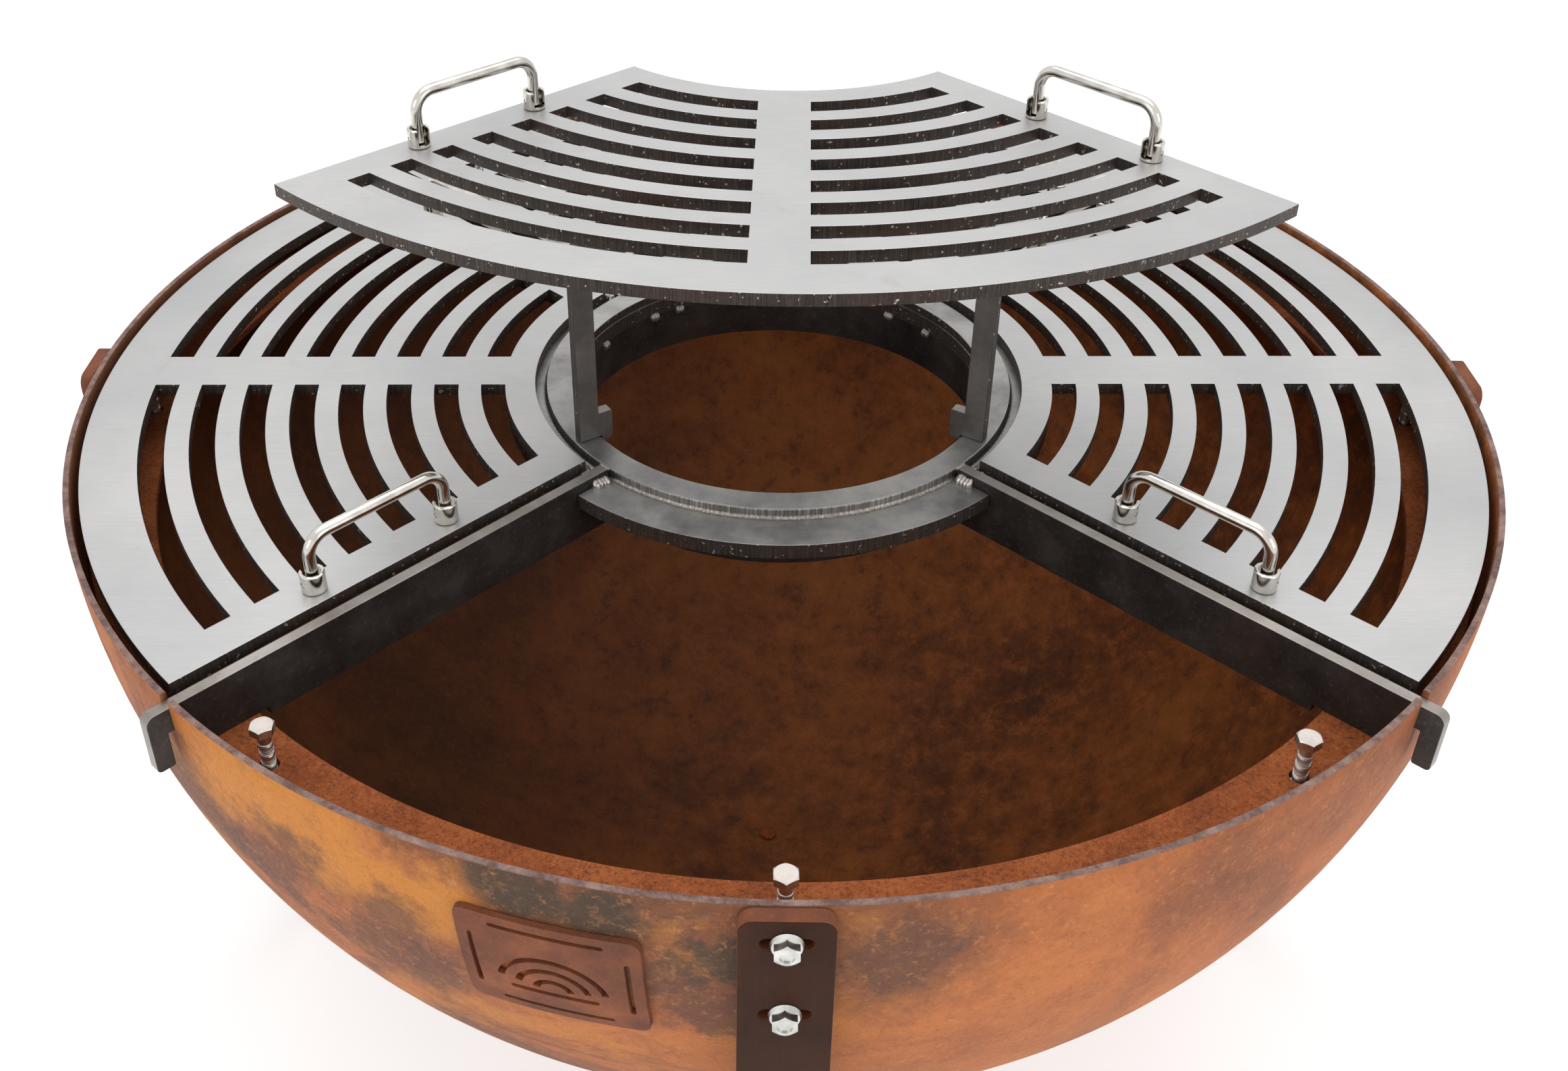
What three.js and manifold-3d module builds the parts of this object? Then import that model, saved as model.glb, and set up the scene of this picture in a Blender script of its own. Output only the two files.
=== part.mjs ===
// Fire pit with lift-out grates: a hemispherical steel bowl on four flat-bar legs, a centre ring on
// four arms that hooks over the rim, four sector grates with folding handles, and a stand that
// carries one of the grates above the ring.
// Millimetres, +Z up. The origin is on the floor, on the bowl's axis. The open sector faces -Y.
import * as THREE from 'three';
import { mergeVertices } from 'three/addons/utils/BufferGeometryUtils.js';
import Module from 'manifold-3d';

const wasm = await Module();
wasm.setup();

// ---------------------------------------------------------------- driving dimensions
const GAP = 0.3; // left between pieces that touch
const FACETS = 48; // sides of every large circle
const SMALL_FACETS = 12; // sides of bolts and holes

const RIM_HEIGHT = 580; // top of the rim above the floor
const BOWL_RADIUS = 500;
const BOWL_WALL = 4;
const BOWL_RINGS = 9; // rings of facets from the rim to the drain
const DRAIN_RADIUS = 5.5;
const BOWL_TWIST = -1.1; // degrees that the bowl and its legs are turned against the arms

const FLANGE = { inner: 448, outer: 492.8, top: -43, thickness: 6 };
const LEVELLING = { radius: 469, spread: 38.5, headTop: -12.4, headHeight: 5.3, length: 50, hole: 5.6 };
const M8 = { shank: 4, acrossCorners: 15, flangeRadius: 9 };

const LEG = { width: 49, thickness: 9, top: -1, cornerRadius: 8, knee: -330, lean: 19 };
const FOOT = { bendRadius: 9, length: 45 };
const LEG_BOLTS = { depths: [-18, -72], lengths: [18, 26], slotLength: 28, slotWidth: 8.8, hole: 4.6 };

const TOP_RING = { inner: 151, outer: 170, top: -5, bottom: -12 };
const SHELF = { inner: 151, outer: 199, top: -12.3, bottom: -23.4 };
const COLLAR = { inner: 151.5, outer: 159.5, top: -23.7, bottom: -58 };

const ARM = { thickness: 8, top: -5, bottom: -48, step: 441, tipRadius: 514.5, tipBottom: -46, corner: 6 };
const ARM_AZIMUTHS = { rear_right: 45, rear_left: 135, front_left: 225, front_right: 315 };
const ARM_NOTCH = { inner: 492.9, outer: 503.2, top: -21.7, slotWidth: 9, slotBottom: -22 };

const GRATE = { inner: 178, outer: 490.5, thickness: 9, top: -3, edgeInset: 12 };
const SLOTS = { rows: 8, outermost: 453, pitch: 33.7, width: 17.3, bandHalf: 19.5, endInset: 39.6 };
const RAISED = { x: 14.2, y: 311, top: 160.5, turn: -2.6 };

const HANDLE = { along: 334, inset: 25.8, spacing: 100, rise: 38, rod: 4, bend: 14, pivot: 7 };
const SOCKET = { radius: 8, bore: 5.6, height: 14, floor: 2.4, slot: 9 };
const PIN = { radius: 1.5, hole: 1.85, halfLength: 7.5 };

const STAND = { hubRadius: 12, thickness: 8, barDepth: 20, cornerRadius: 18 };
const STAND_POST = { inner: 152, outer: 167 };
const STAND_AZIMUTHS = { front_left: 212.5, front_right: 327.5, rear: 90 };
const STAND_TAB = { inner: 141.5, outer: 150.2, top: 14.5, bottom: -9, chamfer: 3, round: 1.5 };

const PLAQUE = { azimuth: 254.7, elevation: -9.1, width: 102, height: 88, thickness: 3.2, corner: 7 };

// ---------------------------------------------------------------- finishes
const finish = (color, roughness, metalness) => ({ color, roughness, metalness });
const RUST = finish(0x9c5424, 0.85, 0.2);
const RUST_RING = finish(0x8c4522, 0.95, 0.1);
const LEG_BROWN = finish(0x35241b, 0.5, 0.4);
const ZINC = finish(0xd8d8d4, 0.25, 1.0);
const STAINLESS = finish(0xcfcdc9, 0.2, 1.0);
const BARE_STEEL = finish(0xc4c6c8, 0.4, 0.9);
const RING_STEEL = finish(0x77787a, 0.45, 0.9);
const MILL_SCALE = finish(0x2e2d30, 0.6, 0.6);
const STAND_STEEL = finish(0x4c4542, 0.6, 0.6);

// ---------------------------------------------------------------- helpers
const radians = THREE.MathUtils.degToRad;

// A closed geometry as a solid: shared vertices merged, collapsed triangles dropped.
function solid(geometry) {
  const bare = geometry.clone();
  bare.deleteAttribute('normal');
  bare.deleteAttribute('uv');
  const merged = mergeVertices(bare, 1e-4);
  const index = merged.index.array;
  const triangles = [];
  for (let i = 0; i < index.length; i += 3) {
    const [a, b, c] = [index[i], index[i + 1], index[i + 2]];
    if (a !== b && b !== c && a !== c) {
      triangles.push(a, b, c);
    }
  }
  return new wasm.Manifold(new wasm.Mesh({
    numProp: 3,
    vertProperties: new Float32Array(merged.attributes.position.array),
    triVerts: new Uint32Array(triangles),
  }));
}

// A solid as a geometry, ready for a mesh.
function geometryOf(body) {
  const mesh = body.getMesh();
  const geometry = new THREE.BufferGeometry();
  geometry.setAttribute('position', new THREE.BufferAttribute(new Float32Array(mesh.vertProperties), 3));
  geometry.setIndex(new THREE.BufferAttribute(new Uint32Array(mesh.triVerts), 1));
  return geometry;
}

function addMesh(parent, name, body, look) {
  const material = new THREE.MeshStandardMaterial(look);
  const mesh = new THREE.Mesh(geometryOf(body), material);
  mesh.name = name;
  parent.add(mesh);
  return mesh;
}

function addGroup(parent, x, y, z, degrees) {
  const group = new THREE.Group();
  group.position.set(x, y, z);
  group.rotation.z = radians(degrees);
  parent.add(group);
  return group;
}

// Points on an arc about the origin, both ends included, in steps no wider than one facet.
function arcPoints(radius, fromDegrees, toDegrees, centreX = 0, centreY = 0, facets = FACETS) {
  const steps = Math.max(1, Math.ceil(Math.abs(toDegrees - fromDegrees) / (360 / facets) - 1e-6));
  const points = [];
  for (let i = 0; i <= steps; i += 1) {
    const angle = radians(fromDegrees + ((toDegrees - fromDegrees) * i) / steps);
    points.push(new THREE.Vector2(centreX + radius * Math.cos(angle), centreY + radius * Math.sin(angle)));
  }
  return points;
}

const point = (x, y) => new THREE.Vector2(x, y);

// A flat shape with holes, extruded upwards from the given height.
function plate(outline, holes, bottom, thickness) {
  const shape = new THREE.Shape(outline);
  for (const hole of holes) {
    shape.holes.push(new THREE.Path(hole));
  }
  const geometry = new THREE.ExtrudeGeometry(shape, { depth: thickness, bevelEnabled: false });
  return solid(geometry.translate(0, 0, bottom));
}

// A side view in (radius, height), extruded to the given thickness and centred on the XZ plane.
function radialPlate(outline, thickness) {
  const shape = new THREE.Shape(outline);
  const geometry = new THREE.ExtrudeGeometry(shape, { depth: thickness, bevelEnabled: false });
  return solid(geometry.rotateX(Math.PI / 2).translate(0, thickness / 2, 0));
}

// A profile in (radius, height), turned about the Z axis.
function turned(profile, facets = FACETS) {
  return solid(new THREE.LatheGeometry(profile, facets).rotateX(Math.PI / 2));
}

// A ring of rectangular section.
function ring({ inner, outer, top, bottom }) {
  return turned([point(inner, bottom), point(outer, bottom), point(outer, top), point(inner, top),
    point(inner, bottom)]);
}

// A cylinder along X from x0 to x1 at the given height.
function barAlongX(radius, x0, x1, z, facets = SMALL_FACETS) {
  const geometry = new THREE.CylinderGeometry(radius, radius, x1 - x0, facets);
  return solid(geometry.rotateZ(-Math.PI / 2).translate((x0 + x1) / 2, 0, z));
}

function block(x0, x1, y0, y1, z0, z1) {
  const geometry = new THREE.BoxGeometry(x1 - x0, y1 - y0, z1 - z0);
  return solid(geometry.translate((x0 + x1) / 2, (y0 + y1) / 2, (z0 + z1) / 2));
}

function roundedRectangle(width, height, radius) {
  const x = width / 2 - radius;
  const y = height / 2 - radius;
  return [
    ...arcPoints(radius, 0, 90, x, y, SMALL_FACETS),
    ...arcPoints(radius, 90, 180, -x, y, SMALL_FACETS),
    ...arcPoints(radius, 180, 270, -x, -y, SMALL_FACETS),
    ...arcPoints(radius, 270, 360, x, -y, SMALL_FACETS),
  ];
}

// A slot with round ends: a stadium of the given length and width about a centre, turned by an angle.
function stadium(length, width, centreX, centreY, degrees = 0, facets = 8) {
  const half = (length - width) / 2;
  const outline = [
    ...arcPoints(width / 2, -90, 90, half, 0, facets),
    ...arcPoints(width / 2, 90, 270, -half, 0, facets),
  ];
  const origin = point(0, 0);
  return outline.map((p) => p.rotateAround(origin, radians(degrees)).add(point(centreX, centreY)));
}

// ---------------------------------------------------------------- bowl
// Profile angles are counted from the rim down, and are closer together near the rim.
function bowlArc(radius) {
  const lowest = 90 - THREE.MathUtils.radToDeg(Math.asin(DRAIN_RADIUS / radius));
  const points = [];
  for (let i = 0; i <= BOWL_RINGS; i += 1) {
    const angle = radians(lowest * (i / BOWL_RINGS) ** 1.5);
    points.push(point(radius * Math.cos(angle), -radius * Math.sin(angle)));
  }
  return points;
}

function makeBowl() {
  const outside = bowlArc(BOWL_RADIUS).reverse();
  const inside = bowlArc(BOWL_RADIUS - BOWL_WALL);
  let bowl = turned([...outside, ...inside, outside[0].clone()]);
  const slotHalf = ARM_NOTCH.slotWidth / 2;
  for (const azimuth of Object.values(ARM_AZIMUTHS)) {
    const cut = block(BOWL_RADIUS - 30, BOWL_RADIUS + 20, -slotHalf, slotHalf, ARM_NOTCH.slotBottom, 10);
    bowl = bowl.subtract(cut.rotate([0, 0, azimuth]));
  }
  for (const azimuth of [0, 90, 180, 270]) {
    for (const depth of LEG_BOLTS.depths) {
      const cut = barAlongX(LEG_BOLTS.hole, BOWL_RADIUS - 30, BOWL_RADIUS + 20, depth);
      bowl = bowl.subtract(cut.rotate([0, 0, azimuth + BOWL_TWIST]));
    }
  }
  return bowl;
}

function makeDrainPlug() {
  const inside = -(BOWL_RADIUS - BOWL_WALL);
  const stem = DRAIN_RADIUS - 0.4;
  const head = DRAIN_RADIUS + 2;
  return turned([
    point(0, inside - BOWL_WALL - 1), point(stem, inside - BOWL_WALL - 1), point(stem, inside + 0.4),
    point(head, inside + 0.4), point(head - 1, inside + 3.4), point(0, inside + 3.4),
  ], SMALL_FACETS);
}

// Azimuths of the levelling bolts: three in each sector.
function levellingAzimuths(sector) {
  return [-LEVELLING.spread, 0, LEVELLING.spread].map((offset) => sector + BOWL_TWIST + offset);
}

function makeFlange() {
  const { inner, outer, top, thickness } = FLANGE;
  let flange = ring({ inner, outer, top, bottom: top - thickness });
  const drill = new THREE.CylinderGeometry(LEVELLING.hole, LEVELLING.hole, 3 * thickness, 8);
  drill.rotateX(Math.PI / 2).translate(LEVELLING.radius, 0, top - thickness / 2);
  const hole = solid(drill);
  for (const sector of [0, 90, 180, 270]) {
    for (const azimuth of levellingAzimuths(sector)) {
      flange = flange.subtract(hole.rotate([0, 0, azimuth]));
    }
  }
  return flange;
}

// A hexagon head bolt that hangs down from its head, with the head's top at z = 0.
function makeLevellingBolt() {
  const { headHeight, length } = LEVELLING;
  const head = new THREE.CylinderGeometry(M8.acrossCorners / 2, M8.acrossCorners / 2, headHeight, 6);
  const shank = turned([
    point(0, -headHeight - length), point(M8.shank - 1, -headHeight - length),
    point(M8.shank, -headHeight - length + 1), point(M8.shank, -headHeight / 2), point(0, -headHeight / 2),
  ], SMALL_FACETS);
  return solid(head.rotateX(Math.PI / 2).translate(0, 0, -headHeight / 2)).add(shank);
}

// A curved plate that follows the bowl, with a border of four slots and a burst of eight.
function makePlaque() {
  const { azimuth, elevation, width, height, thickness, corner } = PLAQUE;
  const slab = new THREE.BoxGeometry(width + 8, height + 8, thickness, 5, 4, 1);
  const position = slab.attributes.position;
  for (let i = 0; i < position.count; i += 1) {
    const across = position.getX(i) / BOWL_RADIUS;
    const up = position.getY(i) / BOWL_RADIUS;
    const out = BOWL_RADIUS + GAP + thickness / 2 + position.getZ(i);
    position.setXYZ(i, out * Math.cos(up) * Math.sin(across), out * Math.sin(up),
      out * Math.cos(up) * Math.cos(across));
  }
  const from = BOWL_RADIUS - 20;
  const depth = 40;
  let plaque = solid(slab).intersect(plate(roundedRectangle(width, height, corner), [], from, depth));
  const border = 8;
  const slot = 3.2;
  const cuts = [
    stadium(width * 0.62, slot, 0, height / 2 - border), stadium(width * 0.62, slot, 0, border - height / 2),
    stadium(height * 0.56, slot, width / 2 - border, 0, 90),
    stadium(height * 0.56, slot, border - width / 2, 0, 90),
  ];
  for (let ray = 0; ray < 8; ray += 1) {
    const angle = radians(ray * 45 + 22.5);
    const reach = 18;
    cuts.push(stadium(17, 4.4, reach * Math.cos(angle), reach * Math.sin(angle), ray * 45 + 22.5));
  }
  for (const outline of cuts) {
    plaque = plaque.subtract(plate(outline, [], from, depth));
  }
  // The plate was made facing +Z with +Y up: turn it to face outwards along +X, then to its place.
  return plaque.rotate([90, 0, 90]).rotate([0, -elevation, azimuth]);
}

// ---------------------------------------------------------------- legs
// Flat bar that stands upright against the rim, leans in under the bowl below its knee, and is bent
// level into a foot. X is outwards.
function makeLeg() {
  const { width, thickness, top, cornerRadius, knee, lean } = LEG;
  const inner = BOWL_RADIUS + GAP;
  const outer = inner + thickness;
  const half = width / 2;
  const joinHeight = knee + 10;
  const front = [
    point(-half, joinHeight), point(half, joinHeight),
    ...arcPoints(cornerRadius, 0, 90, half - cornerRadius, top - cornerRadius, 16),
    ...arcPoints(cornerRadius, 90, 180, cornerRadius - half, top - cornerRadius, 16),
  ];
  const { depths, slotLength, slotWidth } = LEG_BOLTS;
  const slots = depths.map((depth) => stadium(slotLength, slotWidth, 0, depth, 0, SMALL_FACETS));
  const bar = plate(front, slots, inner, thickness).rotate([90, 0, 90]);
  const floor = -RIM_HEIGHT;
  const slope = radians(lean);
  const outerBend = FOOT.bendRadius + thickness;
  const bendHeight = floor + outerBend;
  const bendCentre = outer + ((bendHeight - knee) * Math.sin(slope) - outerBend) / Math.cos(slope);
  const toe = bendCentre - FOOT.length;
  const side = [
    point(toe, floor),
    ...arcPoints(outerBend, 270, 360 - lean, bendCentre, bendHeight, 24),
    point(outer, knee), point(outer, joinHeight + 1), point(inner, joinHeight + 1),
    point(inner, knee + thickness * Math.tan(slope / 2)),
    ...arcPoints(FOOT.bendRadius, 360 - lean, 270, bendCentre, bendHeight, 24),
    point(toe, floor + thickness),
  ];
  return bar.add(radialPlate(side, width));
}

// A hexagon bolt with a flange under its head. X is outwards and the flange's underside is at x = 0.
function makeLegBolt(length) {
  const flange = turned([
    point(0, -length), point(M8.shank - 0.1, -length), point(M8.shank - 0.1, 0), point(M8.flangeRadius, 0),
    point(M8.flangeRadius - 0.8, 1.8), point(0, 1.8),
  ], SMALL_FACETS);
  const head = new THREE.CylinderGeometry(M8.acrossCorners / 2, M8.acrossCorners / 2, 6.6, 6);
  return flange.add(solid(head.rotateX(Math.PI / 2).translate(0, 0, 4.3))).rotate([0, 90, 0]);
}

// ---------------------------------------------------------------- centre ring and arms
function makeShelf() {
  let shelf = ring(SHELF);
  const half = ARM.thickness / 2 + 0.6;
  for (const azimuth of Object.values(ARM_AZIMUTHS)) {
    const notch = block(TOP_RING.outer + 0.2, SHELF.outer + 10, -half, half, SHELF.bottom - 5, SHELF.top + 5);
    shelf = shelf.subtract(notch.rotate([0, 0, azimuth]));
  }
  return shelf;
}

// An arm's side view. Its inner end butts on the ring and the collar, its lower edge steps up over
// the flange, and its tip passes through the rim's slot and hooks down outside.
function makeArm() {
  const { thickness, top, bottom, step, tipRadius, tipBottom, corner } = ARM;
  const onFlange = FLANGE.top + GAP;
  const underShelf = SHELF.bottom - GAP;
  const outline = [
    point(TOP_RING.outer + 0.5, top), point(TOP_RING.outer + 0.5, underShelf),
    point(COLLAR.outer + 0.5, underShelf), point(COLLAR.outer + 0.5, bottom),
    point(step, bottom), point(step, onFlange), point(ARM_NOTCH.inner, onFlange),
    point(ARM_NOTCH.inner, ARM_NOTCH.top), point(ARM_NOTCH.outer, ARM_NOTCH.top),
    point(ARM_NOTCH.outer, tipBottom),
    ...arcPoints(corner / 2, 270, 360, tipRadius - corner / 2, tipBottom + corner / 2, 16),
    ...arcPoints(corner, 0, 90, tipRadius - corner, top - corner, 16),
  ];
  return radialPlate(outline, thickness);
}

// ---------------------------------------------------------------- grates
// One arc slot between two radii, on one side of the centre band. The sector's axis is +X.
function grateSlot(row, side) {
  const outer = SLOTS.outermost - row * SLOTS.pitch;
  const inner = outer - SLOTS.width;
  const bandAngle = (radius) => THREE.MathUtils.radToDeg(Math.asin(SLOTS.bandHalf / radius));
  const endAngle = (radius) => 45 - THREE.MathUtils.radToDeg(Math.asin(SLOTS.endInset / radius));
  return [
    ...arcPoints(outer, side * bandAngle(outer), side * endAngle(outer)),
    ...arcPoints(inner, side * endAngle(inner), side * bandAngle(inner)),
  ];
}

function makeGratePlate() {
  const { inner, outer, thickness, edgeInset } = GRATE;
  const edgeAngle = (radius) => 45 - THREE.MathUtils.radToDeg(Math.asin(edgeInset / radius));
  const outline = [
    ...arcPoints(outer, -edgeAngle(outer), edgeAngle(outer)),
    ...arcPoints(inner, edgeAngle(inner), -edgeAngle(inner)),
  ];
  const holes = [];
  for (let row = 0; row < SLOTS.rows; row += 1) {
    holes.push(grateSlot(row, 1), grateSlot(row, -1));
  }
  return plate(outline, holes, -thickness, thickness);
}

// A handle's centreline in the XZ plane: up, round a bend, across, round a bend and down.
// Straight stretches take one step each and a bend takes several.
class HandlePath extends THREE.Curve {
  constructor(halfSpan, bottom, top, bend, bendSteps) {
    super();
    const turn = (centreX, from, to) => arcPoints(bend, from, to, centreX, top - bend, (360 / 90) * bendSteps);
    this.nodes = [
      point(-halfSpan, bottom),
      ...turn(bend - halfSpan, 180, 90),
      ...turn(halfSpan - bend, 90, 0),
      point(halfSpan, bottom),
    ];
  }

  getPointAt(u, target = new THREE.Vector3()) {
    const place = THREE.MathUtils.clamp(u, 0, 1) * (this.nodes.length - 1);
    const index = Math.min(Math.floor(place), this.nodes.length - 2);
    const node = this.nodes[index].clone().lerp(this.nodes[index + 1], place - index);
    return target.set(node.x, 0, node.y);
  }

  getPoint(u, target) {
    return this.getPointAt(u, target);
  }

  getTangentAt(u, target = new THREE.Vector3()) {
    const place = Math.round(THREE.MathUtils.clamp(u, 0, 1) * (this.nodes.length - 1));
    const before = this.nodes[Math.max(place - 1, 0)];
    const after = this.nodes[Math.min(place + 1, this.nodes.length - 1)];
    return target.set(after.x - before.x, 0, after.y - before.y).normalize();
  }
}

// A bent rod with its two cross pins pressed in. The span runs along X and the plate is at z = 0.
function makeHandleRod() {
  const { spacing, rise, rod, bend, pivot } = HANDLE;
  const sides = 8;
  const legEnd = pivot - 1;
  const path = new HandlePath(spacing / 2, legEnd, rise, bend, 3);
  const section = new THREE.Shape(arcPoints(rod, 0, 360 - 360 / sides, 0, 0, sides));
  const steps = path.nodes.length - 1;
  const tube = new THREE.ExtrudeGeometry(section, { steps, bevelEnabled: false, extrudePath: path });
  let handle = solid(tube);
  for (const side of [-1, 1]) {
    const x = (side * spacing) / 2;
    const tip = new THREE.CylinderGeometry(rod - 0.05, rod / 2, 3, sides);
    handle = handle.add(solid(tip.rotateX(Math.PI / 2).translate(x, 0, legEnd - 1.1)));
    handle = handle.add(barAlongX(PIN.radius, x - PIN.halfLength, x + PIN.halfLength, pivot, 8));
  }
  return handle;
}

// A cup that holds one end of a handle. It is slotted towards +Y, and drilled along X for the pin.
function makeSocket() {
  const { radius, bore, height, floor, slot } = SOCKET;
  const cup = turned([
    point(0, GAP), point(radius, GAP), point(radius, height - 0.8), point(radius - 0.8, height),
    point(bore, height), point(bore, floor), point(0, floor),
  ], SMALL_FACETS);
  const mouth = block(-slot / 2, slot / 2, 0, radius + 2, floor, height + 2);
  const drill = barAlongX(PIN.hole, -radius - 2, radius + 2, HANDLE.pivot, 8);
  return cup.subtract(mouth).subtract(drill);
}

// A grate in its own frame: +X is the middle of the sector and the plate's top is at z = 0.
// Each handle lies along a straight edge, and folds inwards over the slots. Left and right are as
// seen from outside, facing the centre.
function addGrate(parent, name) {
  addMesh(parent, `${name}_grate_plate`, makeGratePlate(), BARE_STEEL);
  for (const [label, side] of [['left', -1], ['right', 1]]) {
    const edge = radians(45 * side);
    const x = HANDLE.along * Math.cos(edge) + HANDLE.inset * Math.sin(Math.abs(edge));
    const y = HANDLE.along * Math.sin(edge) - HANDLE.inset * side * Math.cos(edge);
    // The local +Y axis points into the sector, so the sockets' slots do too.
    const local = addGroup(parent, x, y, 0, side > 0 ? 225 : -45);
    addMesh(local, `${name}_grate_${label}_handle_rod`, makeHandleRod(), STAINLESS);
    for (const [end, place] of [['inner', 1], ['outer', -1]]) {
      const socket = addMesh(local, `${name}_grate_${label}_${end}_socket`, makeSocket(), STAINLESS);
      socket.position.x = (place * side * HANDLE.spacing) / 2;
    }
  }
}

// ---------------------------------------------------------------- stand
const STAND_TOP = RAISED.top - GRATE.thickness - GAP;

// One leg of the stand: a bar out from the hub, a post down to the ring, and a tab that drops inside
// the ring and keeps the stand in place. X is outwards.
function makeStandLeg() {
  const { hubRadius, thickness, barDepth, cornerRadius } = STAND;
  const { inner, outer, top, bottom, chamfer, round } = STAND_TAB;
  const foot = TOP_RING.top + GAP;
  const outline = [
    point(hubRadius + GAP, STAND_TOP), point(hubRadius + GAP, STAND_TOP - barDepth),
    point(STAND_POST.inner, STAND_TOP - barDepth), point(STAND_POST.inner, top),
    point(inner + round, top), point(inner, top - round),
    point(inner, bottom + chamfer), point(inner + chamfer, bottom),
    point(outer, bottom), point(outer, foot), point(STAND_POST.outer, foot),
    ...arcPoints(cornerRadius, 0, 90, STAND_POST.outer - cornerRadius, STAND_TOP - cornerRadius, 20),
  ];
  return radialPlate(outline, thickness);
}

function makeStandHub() {
  const { hubRadius, barDepth } = STAND;
  const bottom = STAND_TOP - barDepth;
  return turned([point(0, bottom), point(hubRadius, bottom), point(hubRadius, STAND_TOP), point(0, STAND_TOP)],
    SMALL_FACETS);
}

// ---------------------------------------------------------------- assembly
// Heights below are counted from the rim, so everything hangs in one group at the rim's height.
const firePit = new THREE.Group();
const rim = addGroup(firePit, 0, 0, RIM_HEIGHT, 0);

addMesh(rim, 'bowl', makeBowl(), RUST);
addMesh(rim, 'bowl_flange', makeFlange(), RUST_RING);
addMesh(rim, 'drain_plug', makeDrainPlug(), RUST_RING);
addMesh(rim, 'plaque', makePlaque(), RUST);

const FRONT = 270;
['left', 'middle', 'right'].forEach((side, i) => {
  const bolt = addMesh(rim, `levelling_bolt_${side}`, makeLevellingBolt(), STAINLESS);
  const azimuth = radians(levellingAzimuths(FRONT)[i]);
  const { radius, headTop } = LEVELLING;
  bolt.position.set(radius * Math.cos(azimuth), radius * Math.sin(azimuth), headTop);
});

for (const [side, azimuth] of [['right', 0], ['rear', 90], ['left', 180], ['front', FRONT]]) {
  const place = addGroup(rim, 0, 0, 0, azimuth + BOWL_TWIST);
  addMesh(place, `leg_${side}`, makeLeg(), LEG_BROWN);
  ['upper', 'lower'].forEach((level, i) => {
    const bolt = addMesh(place, `leg_bolt_${side}_${level}`, makeLegBolt(LEG_BOLTS.lengths[i]), ZINC);
    bolt.position.set(BOWL_RADIUS + LEG.thickness + 2 * GAP, 0, LEG_BOLTS.depths[i]);
  });
}

addMesh(rim, 'top_ring', ring(TOP_RING), RING_STEEL);
addMesh(rim, 'shelf_ring', makeShelf(), RING_STEEL);
addMesh(rim, 'collar', ring(COLLAR), MILL_SCALE);
for (const [side, azimuth] of Object.entries(ARM_AZIMUTHS)) {
  addMesh(rim, `arm_${side}`, makeArm().rotate([0, 0, azimuth]), MILL_SCALE);
}

for (const [name, azimuth] of [['right', 0], ['rear', 90], ['left', 180]]) {
  addGrate(addGroup(rim, 0, 0, GRATE.top, azimuth), name);
}
addMesh(rim, 'stand_hub', makeStandHub(), STAND_STEEL);
for (const [side, azimuth] of Object.entries(STAND_AZIMUTHS)) {
  addMesh(rim, `stand_leg_${side}`, makeStandLeg().rotate([0, 0, azimuth]), STAND_STEEL);
}
addGrate(addGroup(rim, RAISED.x, RAISED.y, RAISED.top, FRONT + RAISED.turn), 'raised');

export default firePit;
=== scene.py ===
# Fire pit with lift-out grates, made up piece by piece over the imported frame.
import math

import bmesh
import bpy
from mathutils import Matrix, Vector


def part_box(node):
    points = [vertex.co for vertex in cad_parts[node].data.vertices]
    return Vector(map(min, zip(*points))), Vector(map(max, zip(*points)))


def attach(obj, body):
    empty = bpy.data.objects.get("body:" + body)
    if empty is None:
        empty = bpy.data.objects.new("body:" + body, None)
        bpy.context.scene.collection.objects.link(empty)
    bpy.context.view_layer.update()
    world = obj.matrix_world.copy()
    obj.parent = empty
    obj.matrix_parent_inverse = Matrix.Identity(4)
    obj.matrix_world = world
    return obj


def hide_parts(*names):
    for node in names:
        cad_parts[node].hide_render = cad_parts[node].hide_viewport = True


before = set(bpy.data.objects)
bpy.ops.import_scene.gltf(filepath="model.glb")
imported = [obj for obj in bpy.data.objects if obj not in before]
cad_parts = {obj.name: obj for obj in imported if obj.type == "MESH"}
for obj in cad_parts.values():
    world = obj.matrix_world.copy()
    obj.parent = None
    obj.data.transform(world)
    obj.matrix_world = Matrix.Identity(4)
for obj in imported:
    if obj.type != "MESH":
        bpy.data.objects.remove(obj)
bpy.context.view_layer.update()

MM = 0.001
SPANNER, PITCH = 13 * MM, 1.25 * MM  # of an M8 bolt
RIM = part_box("bowl")[1][2]

# ---- sizes, in millimetres
# Heights are counted from the rim of the bowl unless a comment says otherwise.
BOWL = {"outer": 500, "inner": 496, "drain": 5.5, "twist": -1.1}
FLANGE = {"inner": 448, "outer": 492.8, "top": -43, "thickness": 6, "hole": 5.6}
LEVELLING = {"radius": 469, "spread": 38.5, "head_top": -12.4}
LEG = {"width": 49, "thickness": 9, "inner": 500.3, "top": -1, "corner": 8, "knee": -330, "lean": 19}
FOOT = {"bend": 9, "length": 45}
LEG_BOLTS = {"depths": (-18, -72), "slot_length": 28, "slot_width": 8.8, "hole": 4.6}
TOP_RING = {"inner": 151, "outer": 170, "top": -5, "bottom": -12}
SHELF = {"inner": 151, "outer": 199, "top": -12.3, "bottom": -23.4, "notch": 4.6, "notch_floor": 170.2}
COLLAR = {"inner": 151.5, "outer": 159.5, "top": -23.7, "bottom": -58}
ARM = {"thickness": 8, "top": -5, "bottom": -48, "step": 441, "tip": 514.5, "tip_bottom": -46}
ARM_NOTCH = {"inner": 492.9, "outer": 503.2, "top": -21.7, "slot": 9, "slot_bottom": -22}
GRATE = {"inner": 178, "outer": 490.5, "thickness": 9, "edge": 12, "top": -3}
SLOTS = {"rows": 8, "outermost": 453, "pitch": 33.7, "width": 17.3, "band": 19.5, "end": 39.6}
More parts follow.
